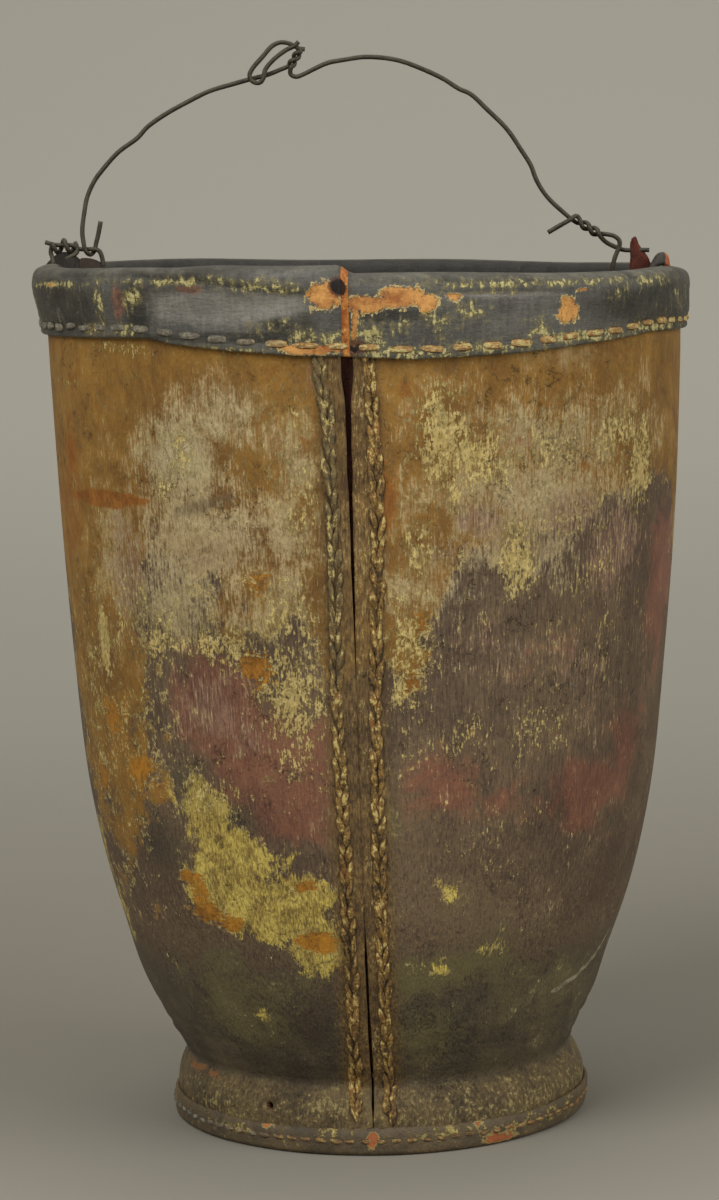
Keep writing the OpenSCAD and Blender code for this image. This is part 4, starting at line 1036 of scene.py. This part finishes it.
def strap(name, line, side, thick, crumple, seed, fall=0.0, twist=0.0):
    """A strap as a sheet along a line of radius, height and half width. Above the rim its edges droop by the
    share fall of their height, and it turns by twist, in degrees, towards the front. Folds run across it, and
    Solidify gives it its thickness."""
    draw = np.random.default_rng(seed)
    path = smooth_line(line, 0.9)
    across = np.linspace(-1, 1, 19)
    run, t = np.meshgrid(np.arange(len(path)), across, indexing="ij")
    r, z, half = path[run, 0], path[run, 1], path[run, 2]
    ragged = 1 + crumple * 0.12 * (np.sin(run * 0.9 + draw.uniform(0, 6))
                                   + 0.6 * np.sin(run * 2.3 + draw.uniform(0, 6)))
    folds = crumple * (0.5 * np.sin(run * 0.55 + 2 * t + draw.uniform(0, 6))
                       + 0.4 * np.sin(4 * t + run * 0.3 + draw.uniform(0, 6))
                       + 0.25 * np.sin(9 * t + run * 0.8 + draw.uniform(0, 6)))
    high = ease(284, 296, z)
    z = z + folds * high
    z = z - fall * np.maximum(0, z - 293.5) * np.abs(t) ** 3
    r = r + folds * 0.6 * high
    turned = np.radians(twist) * ease(286, 293, z)
    off = half * t * (1 + high * (ragged - 1))
    points = np.stack([side * (r + off * np.sin(turned)), off * np.cos(turned), z], axis=-1) * mm
    made = grid_mesh(name, points, {"red": ease(103.2, 104.6, r)})
    shell = made.modifiers.new("thickness", "SOLIDIFY")
    shell.thickness, shell.offset = thick * mm, 0
    round_off = made.modifiers.new("round", "SUBSURF")
    round_off.levels = round_off.render_levels = 1
    return made


def tail(radii, half_width):
    """The part of a strap that is sewn to the inner wall, up to the bend below the rim."""
    return [(radius, height, half_width) for radius, height in zip(radii, (252, 276, 281))]


outer_tail, lining_tail = (102.7, 103.6, 100.9), (100.2, 101.2, 98.5)
ear_dark = bare_hide("ear_dark", (74, 66, 52), (34, 30, 25), 2.6, 0.6, 0.0012)
ear_brown = bare_hide("ear_brown", (86, 68, 52), (44, 35, 28), 2.6, 0.65, 0.0012)
stub_hide = worn_strip("stub_hide", (44, 39, 32), (62, 55, 44), (110, 84, 60), 0.6)
ear_red = bare_hide("ear_red", (150, 74, 46), (78, 36, 26), 3.2, 0.75, 0.0012)
hump = [*tail(outer_tail, 8.5), (98.9, 288, 8.3), (97.6, 295, 8), (98.6, 299.4, 7.6), (101, 302, 7.4),
        (104, 302.6, 7.2), (107, 300.8, 6.8), (110.2, 298, 6), (112.4, 293.6, 4)]
lining = [*tail(lining_tail, 7.3), (95.6, 287, 7.2), (92.4, 292, 7), (90.9, 296, 6.8), (91.8, 298.9, 6.4),
          (94.4, 300, 6), (98.2, 300.6, 5.4)]
stub = [*tail(outer_tail, 8.5), (99, 288, 8.2), (99.8, 292.6, 7), (101.3, 295.4, 5.6), (102.6, 297.4, 4.6),
        (103.8, 297.9, 4), (104.6, 296.6, 3.6), (104.9, 293.6, 3)]
tab = [*tail(lining_tail, 6.8), (96.8, 287, 6.2), (95.9, 294, 3.5), (95.2, 298, 2.7), (94.6, 301, 1.6),
       (94, 304.2, 0.3)]
left_outer = strap("left_ear_hump", hump, -1, 2.1, 0.6, 21, fall=0.95)
left_inner = strap("left_ear_lining", lining, -1, 2.0, 0.45, 22, fall=0.9)
right_outer = strap("right_ear_stub", stub, 1, 2.4, 0.4, 23, fall=0.8)
right_inner = strap("right_ear_tab", tab, 1, 1.9, 0.7, 24, twist=66)
for strap_made, node, leather, slot in ((left_outer, "left_ear_outer", ear_dark, "band_leather"),
                                        (left_inner, "left_ear_inner", ear_brown, "backing_leather"),
                                        (right_outer, "right_ear_outer", stub_hide, "band_leather"),
                                        (right_inner, "right_ear_inner", ear_red, "bare_leather")):
    strap_made.data.materials.append(leather)
    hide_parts(node)
    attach(strap_made, "bucket")
dress("left_ear_stitches", tan_thread)
dress("right_ear_stitches", tan_thread)

# Wires: soft iron wire, dark and a little rusty. The bail is two lengths twisted together at the top, with a
# long eye, and wound on a third at the right. A fourth is the left pivot, and a fifth lashes it to the ear.
wire_thick, rim_height = 1.6, 296
pivot_left = np.array([-94.75, 0, 304.5])
pivot_right = np.array([95.55, 0, 299.6])


def on_axis(x):
    """Point of the hinge line at a place along X."""
    return pivot_left + (pivot_right - pivot_left) * (x - pivot_left[0]) / (pivot_right[0] - pivot_left[0])


def twisted(a, b, turns, radius, phase, number):
    """Points of one of two strands wound round the line from a to b."""
    a, b = np.array(a, float), np.array(b, float)
    way = (b - a) / np.linalg.norm(b - a)
    side = np.array([0, -1.0, 0])
    up = np.cross(side, way)
    share = np.linspace(0, 1, number + 1)[:, None]
    turn = np.radians(phase + 360 * turns * share)
    return a + (b - a) * share + radius * (np.cos(turn) * up + np.sin(turn) * side)


def wire(name, points, seed, sides=12):
    """A round wire along a smooth line through points: rings carried along the line without twisting, a
    little uneven in thickness, and closed at both ends."""
    draw = np.random.default_rng(seed)
    line = smooth_line(points, 0.7) * mm
    keep = np.append(True, np.linalg.norm(np.diff(line, axis=0), axis=1) > 1e-5)
    line = line[keep]
    way = np.gradient(line, axis=0)
    way /= np.linalg.norm(way, axis=1, keepdims=True)
    normal = np.zeros_like(way)
    carried = np.array([0.3, 1.0, 0.2])
    for i, forward in enumerate(way):
        carried = carried - (carried @ forward) * forward
        carried = carried / np.linalg.norm(carried)
        normal[i] = carried
    other = np.cross(way, normal)
    uneven = np.convolve(draw.normal(0, 1, len(line) + 8), np.ones(9) / 9, "valid")
    radius = wire_thick / 2 * mm * (1 + 0.07 * uneven)
    line = np.vstack([line[:1], line, line[-1:]])
    normal, other = (np.vstack([n[:1], n, n[-1:]]) for n in (normal, other))
    radius = np.concatenate([[0], radius, [0]])
    around = np.linspace(0, 2 * np.pi, sides, endpoint=False)[:, None]
    ring = np.cos(around) * normal[:, None] + np.sin(around) * other[:, None]
    return faced_out(grid_mesh(name, line[:, None] + radius[:, None, None] * ring, close_columns=True))


def up(*points):
    """Points of the bail's plane from their X and their height above the rim."""
    return [(x, 0, rim_height + z) for x, z in points]


f = Finish("iron_wire", Metallic=0.55)
rust = f.noise(260, 6, 0.65)
pits = f.noise(1700, 3, 0.6)
f.coat(f.shades((62, 58, 48), (88, 80, 62), rust * 0.7 + pits * 0.4, -0.5, 0.6))
f.coat((106, 66, 40), (rust * 0.8 - pits * 0.3).step(0.35, 0.7) * 0.7)
iron = f.wear(0.5 + rust * 0.15 + pits * 0.06, rust * 0.25 + pits * 0.2, 0.0004)
stalk = [(-23.4, 0, 365.2), (-19.4, 0, 371.4)]
stalk_turns, side_turns = 1.25, 1.3
tight, loose, hook_radius = 0.9, 1.07, 1.9
turn_low, turn_high = (74.6, 0, 310.2), (82.6, 0, 305.0)
hook_turn = np.radians(np.linspace(0, 180, 9))
hook_x = np.linspace(-93.15, -96.35, 9)
hook = [on_axis(x) + hook_radius * np.array([0, math.cos(a), -math.sin(a)])
        for x, a in zip(hook_x, hook_turn)]
left_line = [
    (-90.95, 1.9, 314.0), (-91.95, 1.9, 309.4), (-92.95, 1.9, 305.8), *hook, (-96.55, -1.9, 305.9),
    (-97.05, -1.4, 310.6), (-96.25, -0.7, 317), (-94.95, 0, 322.9),
    *up((-92.2, 32.3), (-89.5, 35.7), (-83.7, 41.7), (-76.9, 46.4), (-73.4, 50), (-67.4, 54), (-59.3, 58.2),
        (-51.3, 61.8)),
    (-43.3, .8, 360), (-37.4, 1.3, 361.5), (-31.6, 1.3, 362.8), (-27, 1.1, 364.4),
    *twisted(*stalk, stalk_turns, tight, 270, 14)[1:14], (-18.1, 0.2, 371.2)]
left_wire = wire("bail_left", left_line, 31)
eye = [(-24.3, 371.1), (-28.6, 368.1), (-31.8, 364.5), (-32.4, 362), (-33.8, 360.2), (-36.2, 360.6),
       (-37.3, 362.6), (-36.4, 364.8), (-32.7, 368.9), (-29.1, 372.6), (-26.3, 373.7), (-23.2, 373.2)]
right_line = [
    (-20, -1.2, 373.8), (-21.4, -1.2, 372.4), *[(x, -0.95, z) for x, z in eye],
    *twisted(*stalk, stalk_turns, tight, 90, 14)[13:0:-1],
    *up((-23.2, 66.9), (-21.4, 65.9), (-18.4, 66.8), (-15.6, 68.1), (-10.3, 70.3), (-4.8, 71.2), (3.1, 72),
        (13.5, 70.7), (22.3, 67.4), (29.5, 63.8), (34.6, 60.4), (38.7, 58.4), (44.4, 52.9), (50.9, 46.2),
        (55.9, 38.6), (58.9, 33.6), (60.8, 28.4), (63.9, 23.2), (68.7, 18.2)),
    *twisted(turn_low, turn_high, side_turns, loose, 200, 16)[1:16], (85, -1.2, 305.2), (87.2, -1.7, 304.6),
    (88.9, -1.9, 303), (88.8, -1.9, 300.8), (87.9, -1.9, 298.8), (86.9, -1.8, 296), (86.4, -1.6, 292.6),
    (87, -1.4, 289)]
right_wire = wire("bail_right", right_line, 32)
strand_line = [
    (64.4, -1.8, 306.4), (68.4, -1.9, 308.6), (72.1, -1.9, 310.6), (74.3, -1.2, 311.9),
    *twisted(turn_low, turn_high, side_turns, loose, 20, 16)[1:16], (84.3, 0.2, 302.6),
    on_axis(88.55) + np.array([0, 0, 0.6]), on_axis(90.55), on_axis(96), on_axis(99.2)]
right_strand = wire("bail_strand", strand_line, 33)
ear_line = [(-93.75, 0, 287), (-91.2, 0, 293), (-90.4, 0, 298), (-90.6, 0, 301.4), (-91.5, 0, 303.7),
            on_axis(-93.2), on_axis(-94.75), on_axis(-98), (-99.2, 0, 305.0), (-100.6, 0, 305.9),
            (-103.4, 0, 306.1), (-107, 0, 306.3), (-110.3, 0, 307.3)]
ear_wire = wire("left_ear_pivot", ear_line, 34)
coil_height, coil_middle, coil_radius, coil_pitch = 305.7, -103.75, 2.1, 4.4
coil_turn = np.linspace(0, 2, 37)
coil_angle = np.radians(90 + 360 * coil_turn)
coil = np.stack([coil_middle + coil_pitch * (coil_turn - 1), coil_radius * np.cos(coil_angle),
                 coil_height + coil_radius * np.sin(coil_angle)], -1)
lashing_line = [(coil_middle - 3.4, -4.6, 298), (coil_middle - 3.6, -3.9, 301.4),
                (coil[0, 0] - 0.3, -0.4, 304), *coil[3:-3], (coil[-1, 0] + 0.2, -1.2, 303.6),
                (coil_middle + 1.2, -4.1, 301.2), (coil_middle - 0.8, -4.8, 298)]
lashing = wire("left_ear_binding", lashing_line, 35)
for made, node, body_name in ((left_wire, "bail_left_wire", "bail"), (right_wire, "bail_right_wire", "bail"),
                              (right_strand, "bail_right_strand", "bail"),
                              (ear_wire, "left_ear_wire", "bucket"), (lashing, "left_ear_lashing", "bucket")):
    made.data.materials.append(iron)
    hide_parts(node)
    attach(made, body_name)

# Studio: a paper sweep that runs from the floor up behind the bucket, lit softly from above and both sides.
# Its back is see-through, so that it hides nothing when the bucket is seen from behind.
sweep_line = smooth_line([(-6.0, 0), (-3.0, 0), (0.0, 0), (1.0, 0.0), (1.75, 0.12), (2.2, 0.6), (2.35, 1.3),
                          (2.4, 3.2)], 0.05)
sweep_x, sweep_i = np.meshgrid(np.linspace(6, -6, 13), np.arange(len(sweep_line)))
sweep = grid_mesh("paper_sweep", np.stack([sweep_x, sweep_line[sweep_i, 0], sweep_line[sweep_i, 1]], -1))
f = Finish("paper", Roughness=0.9, Specular_IOR_Level=0.1)
depth = f.node("ShaderNodeSeparateXYZ", {}, {0: f.place}, "Y")
# Painted light: the grey is darker on the floor by the bucket and lighter up the wall and towards the front,
# as the studio light falls off
grey = f.shades((126, 121, 109), (172, 168, 157), depth, 0.05, 1.9)
grey = f.mix(grey, (166, 161, 150), 1 - depth.step(-0.4, 0.1))
f.tree.links.new(grey.socket, f.shader.inputs["Base Color"])
clear = f.node("ShaderNodeBsdfTransparent", {}, {})
behind = f.node("ShaderNodeNewGeometry", {}, {}, "Backfacing")
seen = f.node("ShaderNodeMixShader", {}, {0: behind, 1: Signal(f, f.shader.outputs[0]), 2: clear})
f.tree.links.new(seen.socket, f.tree.nodes["Material Output"].inputs["Surface"])
sweep.data.materials.append(f.material)


def soft_box(name, place, aim, size, watts):
    """A square soft box that points at a place, in metres."""
    lamp = bpy.data.lights.new(name, "AREA")
    lamp.shape, lamp.size, lamp.energy = "SQUARE", size, watts
    made = new_object(name, lamp)
    made.location = place
    made.rotation_euler = (Vector(place) - Vector(aim)).to_track_quat("Z", "Y").to_euler()
    return made


soft_box("key_light", (-1.1, -1.5, 1.7), (0, 0, 0.16), 1.4, 38)
soft_box("fill_light", (1.7, -1.0, 1.0), (0, 0, 0.16), 1.6, 25)
soft_box("top_light", (0.1, 0.7, 2.0), (0, 0.2, 0.2), 1.4, 14)
world = bpy.data.worlds.new("studio")
bpy.context.scene.world = world
world.use_nodes = True
light = world.node_tree.nodes["Background"]
light.inputs["Color"].default_value = (0.82, 0.81, 0.78, 1)
light.inputs["Strength"].default_value = 0.46
# Rays from the camera, and through glass and gloss, meet an even grey in place of the light's own colour
seen_world = world.node_tree.nodes.new("ShaderNodeBackground")
seen_world.inputs["Color"].default_value = tone(105, 101, 94)
ray = world.node_tree.nodes.new("ShaderNodeLightPath")
seen_by = ray.outputs["Is Camera Ray"]
for kind in ("Is Glossy Ray", "Is Transmission Ray"):
    larger = world.node_tree.nodes.new("ShaderNodeMath")
    larger.operation = "MAXIMUM"
    world.node_tree.links.new(seen_by, larger.inputs[0])
    world.node_tree.links.new(ray.outputs[kind], larger.inputs[1])
    seen_by = larger.outputs[0]
either = world.node_tree.nodes.new("ShaderNodeMixShader")
world.node_tree.links.new(seen_by, either.inputs[0])
world.node_tree.links.new(light.outputs[0], either.inputs[1])
world.node_tree.links.new(seen_world.outputs[0], either.inputs[2])
world.node_tree.links.new(either.outputs[0], world.node_tree.nodes["World Output"].inputs["Surface"])

# Camera: where the photograph was taken from, as fitted to the ellipses of the rim and foot and the outline.
# It stands 1.2 metres away and just above the rim, a little to the right, and leans by a degree and a half.
camera_turn, camera_pitch, camera_roll = math.radians(3.0), math.radians(6.76), math.radians(-1.46)
camera_away, camera_high = 1.222, 0.3246
right = Vector((math.cos(camera_turn), math.sin(camera_turn), 0))
back = Vector((math.sin(camera_turn) * math.cos(camera_pitch),
               -math.cos(camera_turn) * math.cos(camera_pitch), math.sin(camera_pitch)))
above = back.cross(right)
rolled_right = right * math.cos(camera_roll) + above * math.sin(camera_roll)
rolled_above = above * math.cos(camera_roll) - right * math.sin(camera_roll)
camera_data = bpy.data.cameras.new("camera")
camera_data.lens, camera_data.sensor_width, camera_data.shift_x = 105.3, 36, -11.6 / 1200
camera = new_object("camera", camera_data)
place = Vector((math.sin(camera_turn) * camera_away, -math.cos(camera_turn) * camera_away, camera_high))
camera.matrix_world = Matrix([[rolled_right[i], rolled_above[i], back[i], place[i]]
                              for i in range(3)] + [[0, 0, 0, 1]])
bpy.context.scene.camera = camera
bpy.context.scene.view_settings.view_transform = "Standard"
